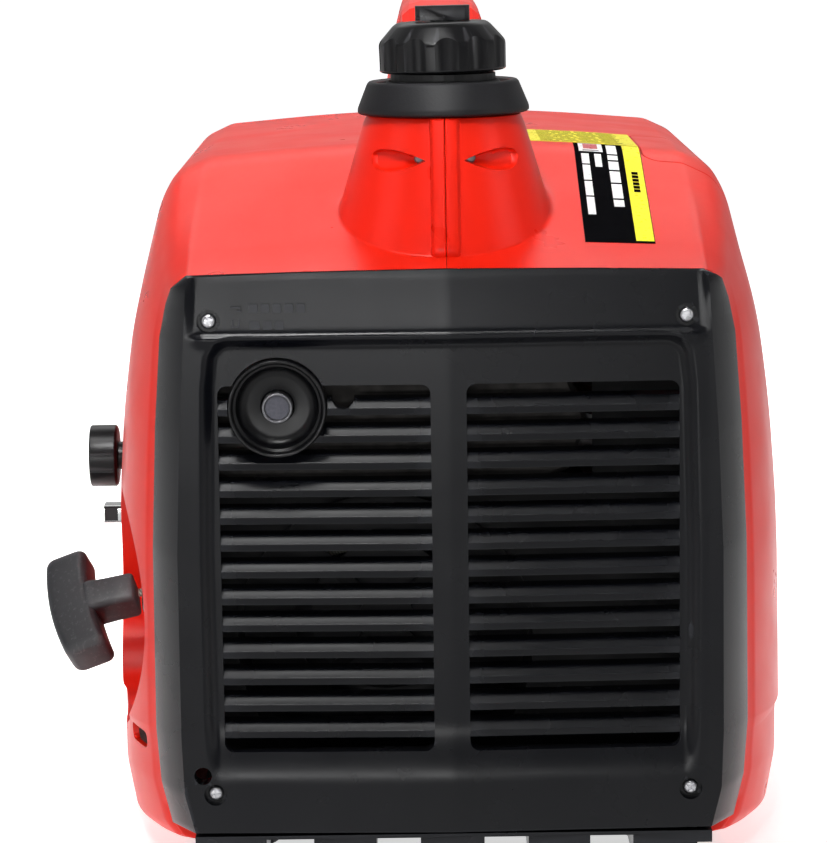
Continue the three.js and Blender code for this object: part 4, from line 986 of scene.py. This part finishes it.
boolean(panel, "DIFFERENCE", raw("c", *win(1)), raw("c", *win(-1)))
slat_prof = rounded([(5.6, -5.2), (5.1, -1.7), (8.3, 1.9), (15, 3.0), (15, -1.2), (5.6, -5.2)], [0.8, 0.35, 0.5, 0.4, 0.4], 4)
bars = []
for sg in (-1, 1):
    a, b = (6.5, 104.5) if sg > 0 else (-104.5, -6.5)
    n = 12
    for i in range(13):
        zt = 217.3 - 12.3 * i
        rings = []
        for j in range(n + 1):
            x = a + (b - a) * j / n
            rings.append([(x, -HALF_L + d - ridge(x), zt + z) for d, z in slat_prof[:-1]])
        bars.append(loft(rings))
slats = raw("c", *merge(*bars))
slat_obj = slats
boolean(panel, "DIFFERENCE", *[raw("c", *cyl("y", -262, -HALF_L + 3.4, 5.2, (x, 0, z), 40)) for x, z in SCREWS], *[raw("c", *cyl("y", -262, -200, 2.6, (x, 0, z), 24)) for x, z in SCREWS],
        raw("c", *cyl("y", -262, -200, 22.5, OUTLET, 96)), raw("c", *cyl("y", -262, -200, 5, (-47, 0, 220), 32)), raw("c", *cyl("y", -262, -236, 4, (-113, 0, 48.6), 28)))
boolean(slat_obj, "DIFFERENCE", raw("c", *cyl("y", -262, -200, 22.5, OUTLET, 96)), raw("c", *cyl("y", -262, -200, 5, (-47, 0, 220), 32)), solver="EXACT")
slat_obj.name = "grille_slats"
bevel(panel, 0.35, 2, 45, harden=False)
done(panel, BLACK, "root", "rear_panel", 38)
done(slat_obj, BLACK, "root", None, 30)
# raised marks beside the upper left screw: two short signs and two rows of plain bars
marks = []
for x0, x1, z0, z1 in ((-96, -91.5, 261.4, 262.2), (-93.4, -91.2, 259.8, 260.6), (-96, -92, 252.8, 253.5), (-95.4, -94.7, 253.5, 256.4), (-92.6, -91.9, 253.5, 256.4)):
    marks.append(box(x0, x1, -HALF_L - ridge(x0) + 0.25, -HALF_L - ridge(x0) + 1.6, z0, z1))
for z, h, xs in ((259.2, 4.0, ((-88, -84), (-82.6, -78.8), (-77.2, -73.6), (-72, -68.2), (-66.6, -63))), (251.8, 3.8, ((-87.6, -83.2), (-81.6, -77.8), (-76.4, -72.6)))):
    for x0, x1 in xs:
        marks.append(box(x0, x1, -HALF_L - ridge(x0) + 0.45, -HALF_L - ridge(x0) + 1.6, z, z + h))
emb = raw("embossed_marks", *merge(*marks), fix=False)
done(emb, BLACK, "root")

# screws: pan head with a cross recess
for i, (x, z) in enumerate(SCREWS):
    y0 = -HALF_L - ridge(x) + 1.6
    head = raw(f"panel_screw_{i + 1}", *turned(rounded([(0, y0), (1.9, y0 + 0.1), (3.1, y0 + 0.7), (3.5, y0 + 1.7), (1.9, y0 + 1.7), (1.9, y0 + 15), (0, y0 + 16)], [0, 0.4, 0.6, 0.2, 0, 0, 0], 4), "y", (x, 0, z), 40))
    a = 0.35 + 0.7 * i
    cuts = []
    for da in (0, math.pi / 2):
        c, s_ = math.cos(a + da), math.sin(a + da)
        pts = [(x + u * c - v * s_, z + u * s_ + v * c) for u, v in ((-2.3, -0.42), (2.3, -0.42), (2.3, 0.42), (-2.3, 0.42))]
        cuts.append(raw("c", *prism(pts, "y", y0 - 2, y0 + 1.1)))
    boolean(head, "DIFFERENCE", *cuts, solver="EXACT")
    done(head, SCREW, "root", f"rear_screw_{i + 1}", 40)

# ------------------------------------------------------------------ exhaust outlet
oy0 = -HALF_L - ridge(OUTLET[0])
dish = [(7.4, oy0 + 9.2), (14.5, oy0 + 8.8), (17.2, oy0 + 7.4), (18.2, oy0 + 4.6), (18.6, oy0 + 3.6), (19.7, oy0 + 3.2), (20.2, oy0 + 0.9), (20.7, oy0 + 0.2), (21.5, oy0 + 0.1), (22.0, oy0 + 0.8), (22.1, oy0 + 12), (19, oy0 + 14), (7.4, oy0 + 14), (7.4, oy0 + 9.2)]
o = raw("outlet_cup", *turned(rounded(dish, [0.4, 1.6, 1.6, 0.5, 0.4, 0.5, 0.5, 0.3, 0.3, 0.4, 0.3, 0.5, 0.3], 4), "y", OUTLET, 96))
done(o, DARK, "root", "outlet_dish", 35)
pipe_prof = [(6.9, -228.8), (6.9, oy0 + 2.9), (6.55, oy0 + 2.5), (5.9, oy0 + 2.5), (5.5, oy0 + 3.0), (5.5, -228.8), (6.9, -228.8)]
o = raw("outlet_pipe", *turned(rounded(pipe_prof, [0, 0.25, 0.2, 0.2, 0.25, 0], 3), "y", OUTLET, 64))
done(o, DULL, "root", "tail_pipe", 35)
# wire mesh disc set back in the pipe
o = raw("spark_screen", *turned([(0, oy0 + 3.8), (5.35, oy0 + 3.8), (5.35, oy0 + 4.6), (0, oy0 + 4.6)], "y", OUTLET, 48))
done(o, MESHY, "root")

# ------------------------------------------------------------------ filler neck
NECK = (0, FILLER_Y, 0)


def tilt(o, deg, z):
    m = Matrix.Translation(P(0, FILLER_Y, z)) @ Matrix.Rotation(rad(deg), 4, "Y") @ Matrix.Translation(-Vector(P(0, FILLER_Y, z)))
    o.data.transform(m)
    return o


seal = raw("neck_collar", *turned(rounded([(24.6, 343.6), (38.4, 342.5), (39.3, 343.4), (39.2, 345.2), (34.7, 356.3), (33.6, 357.4), (30.5, 356.6), (29.5, 355.2), (26.5, 355.2), (25.6, 357.3), (24.6, 357.3), (24.6, 343.6)],
                                          [0.4, 0.4, 0.5, 0.8, 1.1, 0.7, 0.6, 0.5, 0.5, 0.4, 0.3], 4), "z", NECK, 96))
tilt(seal, -0.5, 343)
done(seal, RUBBER, "root", "neck_seal", 40)
cap = raw("filler_cap", *turned(rounded([(21.2, 361.4), (27.4, 361.2), (29.0, 362.0), (29.2, 374.6), (22.2, 382.4), (20.2, 383.7), (14, 384.0), (8, 384.0), (6.4, 383.6), (6.4, 379), (5.9, 379), (5.9, 374), (19, 374), (19, 362), (21.2, 361.4)],
                                        [0.3, 0.5, 0.7, 1.6, 1.4, 1.0, 0, 0, 0.4, 0, 0, 0, 0, 0], 5), "z", NECK, 144))
cuts = []
for i in range(12):
    a = rad(3.6 - 90 + 30 * i)
    r0 = 29.2 + 6.1
    cuts.append(raw("c", *cyl("z", 362.6, 390, 8.6, (r0 * math.cos(a), FILLER_Y + r0 * math.sin(a), 0), 48)))
boolean(cap, "DIFFERENCE", *cuts)
plug = raw("c", *turned([(0, 352.4), (15.5, 352.4), (17.2, 354), (17.2, 376), (0, 376)], "z", NECK, 64))
boolean(cap, "UNION", plug)
boolean(cap, "DIFFERENCE", raw("c", *cyl("z", 380.2, 390, 6.0, NECK, 48)))
bevel(cap, 0.45, 2, 28, harden=False)
apply(cap)
tilt(cap, -1.3, 361)
done(cap, DARK, "fuel_cap", "fuel_cap", 35)
knob = raw("vent_turn_knob", *prism(rrect(0, FILLER_Y, 24.8, 10.4, 2.6, 6), "z", 384.35, 391.0))
boolean(knob, "UNION", raw("c", *cyl("z", 380.6, 386, 5.6, NECK, 48)))
bevel(knob, 0.7, 3, 40, harden=False)
apply(knob)
tilt(knob, -0.6, 384)
done(knob, DARK, "vent_knob", "vent_knob", 35)

# ------------------------------------------------------------------ hand controls on the left flank
g = raw("stop_knob", *turned(rounded([(0, -173.5), (14.5, -173.5), (15, -173), (15, -161), (13.6, -160.1), (6.8, -160), (6.8, -136), (0, -136)], [0, 0.4, 0.3, 0.5, 0.6, 0.3, 0.3, 0], 4), "x", (0, -105, 172), 72))
cuts = []
for z in (166.5, 174.5):
    cuts.append(raw("c", *box(-174.5, -162.5, -125, -105 - math.sqrt(225 - (z - 172) ** 2) + 0.7, z - 0.5, z + 0.5)))
boolean(g, "DIFFERENCE", *cuts)
bevel(g, 0.25, 2, 40, harden=False)
done(g, DARK, "engine_knob", "engine_knob", 35)
tip = raw("choke_tip", *merge(box(-169.3, -161.4, -89.7, -77.6, 136.2, 143.8), box(-162.2, -132, -87.5, -79.5, 138.6, 140.3), box(-136, -133.6, -87.5, -79.5, 128.4, 138.7)), fix=False)
bevel(tip, 0.6, 3, 40, harden=False)
done(tip, DARK, "choke_lever", "choke_lever", 35)
fr = prism(rrect(-83.5, 139.5, 13, 9.2, 1.6, 5), "x", -169.6, -161.0)
frame_o = raw("choke_frame", *fr)
boolean(frame_o, "DIFFERENCE", raw("c", *prism(rrect(-83.5, 140.1, 11.9, 7.3, 1.1, 5), "x", -175, -150)))
boolean(frame_o, "DIFFERENCE", raw("c", *box(-169.2, -162.7, -95, -88, 136.7, 143.7)))
bevel(frame_o, 0.15, 2, 40, harden=False)
done(frame_o, CHROME, "choke_lever")

# starter grip: a bar across a stem, with soft corners
PULL = Vector((-0.978116, 0, -0.20806))
U = Vector((0, 1, 0))
W = U.cross(PULL).normalized()
if W.z < 0:
    W.negate()
phi = rad(48)
AX = (W * math.cos(phi) + U * math.sin(phi)).normalized()
UY = AX.cross(PULL).normalized()
ROOT = Vector((-147.3, ROPE_Y, STEM_Z))
C = ROOT + PULL * 34
lean = rad(20)
PB = Vector((-math.cos(lean), 0, -math.sin(lean)))
WB = U.cross(PB).normalized()
AX = (WB * math.cos(phi) + U * math.sin(phi)).normalized()
UB = AX.cross(PB).normalized()
C = C + Vector((1.0, 0, -2.2))
rings = []
ts = [-30, -29.8, -29.2, -28.2, -26.6, -24, -20, -15, -10, -5, 0, 5, 10, 15, 20, 24, 26.6, 28.2, 29.2, 29.8, 30]
for t in ts:
    e = max(0, (abs(t) - 26.0) / 4.0)
    f = (1.01 - 0.04 * (abs(t) / 30) ** 2) * (1 - 0.26 * (1 - math.sqrt(max(0, 1 - e * e))))
    ring = []
    for i in range(4):
        sx, sy = (1 if i in (0, 3) else -1), (1 if i < 2 else -1)
        for j in range(9):
            q = rad(90 * i + 90 * j / 8)
            ring.append(C + AX * t * 0.97 + PB * ((sx * 6.3 + 4.2 * math.cos(q)) * f - 3 * (t / 30) ** 2) + UB * (sy * 6 + 4 * math.sin(q)) * f)
    rings.append([tuple(p) for p in ring])
v, f = loft(rings)
grip = raw("starter_grip", v, f)
B2 = PULL.cross(UY).normalized()


def stem_ring(d, a, b, r):
    ring = []
    for i in range(4):
        sx, sy = (1 if i in (0, 3) else -1), (1 if i < 2 else -1)
        for j in range(7):
            q = rad(90 * i + 15 * j)
            ring.append(tuple(ROOT + PULL * d + UY * (sx * (a - r) + r * math.cos(q)) + B2 * (sy * (b - r) + r * math.sin(q))))
    return ring


stem = raw("c", *loft([stem_ring(2.6, 7.6, 7.1, 2.6), stem_ring(3.1, 8.3, 7.8, 3), stem_ring(4.2, 8.7, 8.1, 3), stem_ring(15, 8.8, 8.2, 3), stem_ring(20.5, 8.9, 8.4, 3), stem_ring(23.4, 9.3, 8.9, 3.2), stem_ring(26, 9.0, 8.6, 3.2), stem_ring(30, 7, 7, 3)]))
boolean(grip, "UNION", stem)
done(grip, GRIP, "pull_handle", "pull_handle", 40)
gd = raw("rope_eye", *turned(rounded([(3.1, -146.6), (4.6, -147.1), (8.8, -146.9), (10.3, -145.6), (10.4, -142.2), (9.6, -141.4), (6.6, -139.8), (6.6, -122.8), (3.2, -122.8), (3.1, -146.6)], [0.5, 0.5, 0.9, 0.8, 0.5, 0.5, 0.4, 0.2, 0.2], 4), "x", (0, ROPE_Y, STEM_Z), 64))
done(gd, STEEL, "root", "rope_guide", 35)
# rope, closely ringed where it is drawn out
path = [(-30, 134.6), (-45, 132.4), (-60, 129.3), (-75, 124.6), (-90, 119.6), (-100, 116.1), (-110, 113.2), (-117, 111.9), (-122, 111.4)] + [(-122 - 27.0 * i / 90, STEM_Z) for i in range(1, 91)]
rings = []
for i, (x, z) in enumerate(path):
    a, b = path[max(0, i - 1)], path[min(len(path) - 1, i + 1)]
    tx, tz = b[0] - a[0], b[1] - a[1]
    ln = math.hypot(tx, tz)
    nx_, nz_ = -tz / ln, tx / ln
    rings.append([(x + nx_ * 1.95 * math.cos(q), ROPE_Y + 1.95 * math.sin(q), z + nz_ * 1.95 * math.cos(q)) for q in [2 * math.pi * k / 16 for k in range(16)]])
rp = raw("pull_rope", *loft(rings))
smooth(rp, 60)
rp.data.materials.append(ROPE)
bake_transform(rp)
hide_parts("starter_rope")

# small screw heads deep in the tower's scoops: bright metal, made in darker dull steel as painted shade for the deep
# scoops
for sg in (-1, 1):
    x, z = sg * 11.4, 324.0
    y = FILLER_Y - math.sqrt(tower_r(z) ** 2 - x * x) + 3.6
    o = raw("tower_screw_" + ("r" if sg > 0 else "l"), *turned(rounded([(0, y), (1.7, y + 0.1), (2.4, y + 0.9), (2.4, y + 2.6), (0, y + 2.6)], [0, 0.4, 0.5, 0, 0], 4), "y", (x, 0, z), 28))
    done(o, DULL, "root")

# ------------------------------------------------------------------ labels on the right slope


def decal(name, x0, x1, y0, y1, lift, mat, nx=14, ny=40, th=0.12, slant=0.0):
    """A thin sheet that follows the roof from (x0, y0) to (x1, y1)."""
    vs, fs = [], []
    for layer in (0, 1):
        for j in range(ny + 1):
            for i in range(nx + 1):
                y = y0 + (y1 - y0) * j / ny
                x = x0 + (x1 - x0) * i / nx + slant * (y - y0)
                vs.append((x, y, roof_z(x, y) + lift + th * layer))
    m = (nx + 1) * (ny + 1)
    q = lambda l, j, i: l * m + j * (nx + 1) + i
    for j in range(ny):
        for i in range(nx):
            fs.append((q(1, j, i), q(1, j, i + 1), q(1, j + 1, i + 1), q(1, j + 1, i)))
            fs.append((q(0, j, i), q(0, j + 1, i), q(0, j + 1, i + 1), q(0, j, i + 1)))
    for j in range(ny):
        fs.append((q(0, j, 0), q(1, j, 0), q(1, j + 1, 0), q(0, j + 1, 0)))
        fs.append((q(0, j, nx), q(0, j + 1, nx), q(1, j + 1, nx), q(1, j, nx)))
    for i in range(nx):
        fs.append((q(0, 0, i), q(0, 0, i + 1), q(1, 0, i + 1), q(1, 0, i)))
        fs.append((q(0, ny, i), q(1, ny, i), q(1, ny, i + 1), q(0, ny, i + 1)))
    o = raw(name, vs, fs)
    return done(o, mat, "root")


def strips(name, rects, lift, mat, th=0.06):
    vs, fs = [], []
    for x0, x1, y0, y1 in rects:
        nx, ny = 2, max(2, int(abs(y1 - y0) / 3))
        for layer in (0, 1):
            for j in range(ny + 1):
                for i in range(nx + 1):
                    x, y = x0 + (x1 - x0) * i / nx, y0 + (y1 - y0) * j / ny
                    vs.append((x, y, roof_z(x, y) + lift + th * layer))
        m = (nx + 1) * (ny + 1)
        b = len(vs) - 2 * m
        q = lambda l, j, i: b + l * m + j * (nx + 1) + i
        for j in range(ny):
            for i in range(nx):
                fs.append((q(1, j, i), q(1, j, i + 1), q(1, j + 1, i + 1), q(1, j + 1, i)))
                fs.append((q(0, j, i), q(0, j + 1, i), q(0, j + 1, i + 1), q(0, j, i + 1)))
        for j in range(ny):
            fs.append((q(0, j, 0), q(1, j, 0), q(1, j + 1, 0), q(0, j + 1, 0)))
            fs.append((q(0, j, nx), q(0, j + 1, nx), q(1, j + 1, nx), q(1, j, nx)))
        for i in range(nx):
            fs.append((q(0, 0, i), q(0, 0, i + 1), q(1, 0, i + 1), q(1, 0, i)))
            fs.append((q(0, ny, i), q(1, ny, i), q(1, ny, i + 1), q(0, ny, i + 1)))
    o = raw(name, vs, fs)
    return done(o, mat, "root")


LX0, LX1, LY0, LY1 = 62.6, 94.2, -222.5, -110.0
decal("label_base", LX0, LX1, LY0, LY1, 0.05, LBLACK)
decal("label_stripe", LX0 + 0.68 * 34, LX0 + 0.92 * 34, LY0 + 2, LY1 - 2, 0.2, LYELLOW, 6, 40)
decal("label_sign", LX0 + 2.2, LX0 + 13.5, LY1 - 17, LY1 - 2.5, 0.2, LWHITE, 6, 8)


def words(x0, x1, y_top, lens, gap=1.6):
    out, y = [], y_top
    for ln in lens:
        out.append((x0, x1, y - ln, y))
        y -= ln + gap
    return out


bars_w = words(LX0 + 3.0, LX0 + 6.6, LY1 - 20, (11, 16, 15, 18)) + words(LX0 + 9.2, LX0 + 12.4, LY1 - 20, (14,)) + words(LX0 + 15.4, LX0 + 20.2, LY1 - 4, (15, 5, 9, 12, 15, 7), 1.8)
strips("label_bars_white", bars_w, 0.2, LWHITE)
strips("label_bars_dark", words(LX0 + 25.6, LX0 + 28.6, LY1 - 38, (3, 3, 3, 3, 3, 3), 0.8) + [(LX0 + 4, LX0 + 11.6, LY1 - 16.2, LY1 - 15.4)], 0.36, LBLACK)
strips("label_bars_red", [(LX0 + 4.4, LX0 + 11.2, LY1 - 13.4, LY1 - 4.4)], 0.36, LRED)
decal("label2_base", 42.5, 94.0, -108.8, -31.0, 0.05, LYELLOW, 20, 30)
rows2 = []
for r in range(12):
    x = 47.5
    y = -105.0 + r * 6.2
    for ln in ((9, 5, 12, 7), (6, 11, 8, 10), (12, 4, 9, 8), (7, 9, 6, 12))[r % 4]:
        if x + ln < 93:
            rows2.append((x, x + ln, y, y + 1.1))
        x += ln + 1.6
strips("label2_bars", rows2, 0.2, LBLACK)

# ------------------------------------------------------------------ plain signs on the control end
CP = []
cy = 242.0


def sign(x0, x1, z0, z1):
    CP.append(box(x0, x1, cy + 0.02, cy + 0.14, z0, z1))


for x, z in ((-58, 182.6), (-58, 228.4), (0, 173), (36, 170.4), (36, 217.6), (0, 213.4), (62, 170.4)):
    for i, w in enumerate((5.5, 3.5, 4.6)):
        sign(x - 8 + i * 6, x - 8 + i * 6 + w, z, z + 1.7)
sign(-30, 76, 190.2, 190.8)
sign(-30, -29.4, 140, 240)
done(raw("control_signs", *merge(*CP), fix=False), LWHITE, "root")

keep_nodes()

# ------------------------------------------------------------------ floor, light, camera
def stage():
    me = bpy.data.meshes.new("floor")
    R = 14.0
    me.from_pydata([(-R, -R, 0), (R, -R, 0), (R, R, 0), (-R, R, 0)], [], [(0, 1, 2, 3)])
    fl = link(bpy.data.objects.new("floor", me))
    m, nt, b = new_mat("floor_white")
    vec = tex_coord(nt)
    n = noise(nt, vec, 3, 3)
    nt.links.new(mix(nt, n, (0.86, 0.86, 0.86), (0.89, 0.89, 0.89)), b.inputs["Base Color"])
    b.inputs["Roughness"].default_value = 0.8
    b.inputs["Specular IOR Level"].default_value = 0.1
    # the floor glows evenly behind the object and fades out in front of it
    sep = nt.nodes.new("ShaderNodeSeparateXYZ")
    nt.links.new(vec, sep.inputs[0])
    glow = nt.nodes.new("ShaderNodeMapRange")
    glow.interpolation_type = "SMOOTHSTEP"
    for k, v in (("From Min", -0.6), ("From Max", 0.05), ("To Min", 0.12), ("To Max", 0.85)):
        glow.inputs[k].default_value = v
    nt.links.new(sep.outputs["Y"], glow.inputs["Value"])
    # the glow keeps to a wedge straight behind the object
    ax = nt.nodes.new("ShaderNodeMath")
    ax.operation = "ABSOLUTE"
    nt.links.new(sep.outputs["X"], ax.inputs[0])
    edge = nt.nodes.new("ShaderNodeMath")
    edge.operation = "MULTIPLY_ADD"
    nt.links.new(sep.outputs["Y"], edge.inputs[0])
    edge.inputs[1].default_value = -0.135
    nt.links.new(ax.outputs[0], edge.inputs[2])
    side = nt.nodes.new("ShaderNodeMapRange")
    side.interpolation_type = "SMOOTHSTEP"
    for k, v in (("From Min", 0.27), ("From Max", 1.0), ("To Min", 1.0), ("To Max", 0.36)):
        side.inputs[k].default_value = v
    nt.links.new(edge.outputs[0], side.inputs["Value"])
    prod = nt.nodes.new("ShaderNodeMath")
    prod.operation = "MULTIPLY"
    nt.links.new(glow.outputs[0], prod.inputs[0])
    nt.links.new(side.outputs[0], prod.inputs[1])
    b.inputs["Emission Color"].default_value = (1, 1, 1, 1)
    nt.links.new(prod.outputs[0], b.inputs["Emission Strength"])
    me.materials.append(m)
    w = bpy.data.worlds.new("studio")
    w.use_nodes = True
    wt = w.node_tree
    bg = wt.nodes["Background"]
    tc = wt.nodes.new("ShaderNodeTexCoord")
    sp = wt.nodes.new("ShaderNodeSeparateXYZ")
    wt.links.new(tc.outputs["Generated"], sp.inputs[0])
    mr = wt.nodes.new("ShaderNodeMapRange")
    mr.interpolation_type = "SMOOTHSTEP"
    for k, v in (("From Min", -0.2), ("From Max", 1.0), ("To Min", 0.2), ("To Max", 0.42)):
        mr.inputs[k].default_value = v
    wt.links.new(sp.outputs["Y"], mr.inputs["Value"])
    bg.inputs[0].default_value = (1.0, 1.0, 1.0, 1)
    wt.links.new(mr.outputs[0], bg.inputs[1])
    SC.world = w

    def area(name, loc, target, size, power, color=(1, 1, 1), size_y=None):
        l = bpy.data.lights.new(name, "AREA")
        l.shape = "RECTANGLE"
        l.size, l.size_y = size, size_y or size
        l.energy = power
        l.color = color
        o = link(bpy.data.objects.new(name, l))
        o.location = loc
        o.rotation_euler = (Vector(target) - Vector(loc)).to_track_quat("-Z", "Y").to_euler()
        return o
    # the key is masked so that it falls on the roof and tower and behind, not on the floor in front
    area("key_top", (-0.2, -1.6, 1.95), (0, 0.28, 0.3), 0.5, 2.0, size_y=0.4).data.spread = rad(30)
    area("top_strip", (-0.42, -0.72, 2.0), (-0.42, -0.6, 0.2), 0.9, 12, size_y=0.45)
    area("back_top", (0, 1.7, 1.9), (0, -0.1, 0.35), 2.4, 10, size_y=1.0)
    area("fill_left", (-1.9, -1.0, 0.9), (0, 0, 0.25), 0.9, 4.5, size_y=1.2)
    area("fill_right", (1.9, -0.9, 0.8), (0, 0, 0.25), 0.9, 5.5, size_y=1.2)
    area("front_strip", (-0.6, -3.3, 0.17), (0, -0.25, 0.2), 1.8, 18, size_y=0.22)


stage()
SC.view_settings.view_transform = "Standard"
SC.view_settings.look = "None"
cam = bpy.data.cameras.new("cam")
cam.lens = 142.3
cam.sensor_width = 36
cam.clip_start = 0.05
cam.clip_end = 60
co = link(bpy.data.objects.new("cam", cam))
base = Matrix.Rotation(rad(81), 4, "X") @ Matrix.Rotation(rad(-0.8), 4, "Z")
co.matrix_world = Matrix.Translation((SX - 0.01546, -1.713, 0.44138)) @ base
SC.camera = co
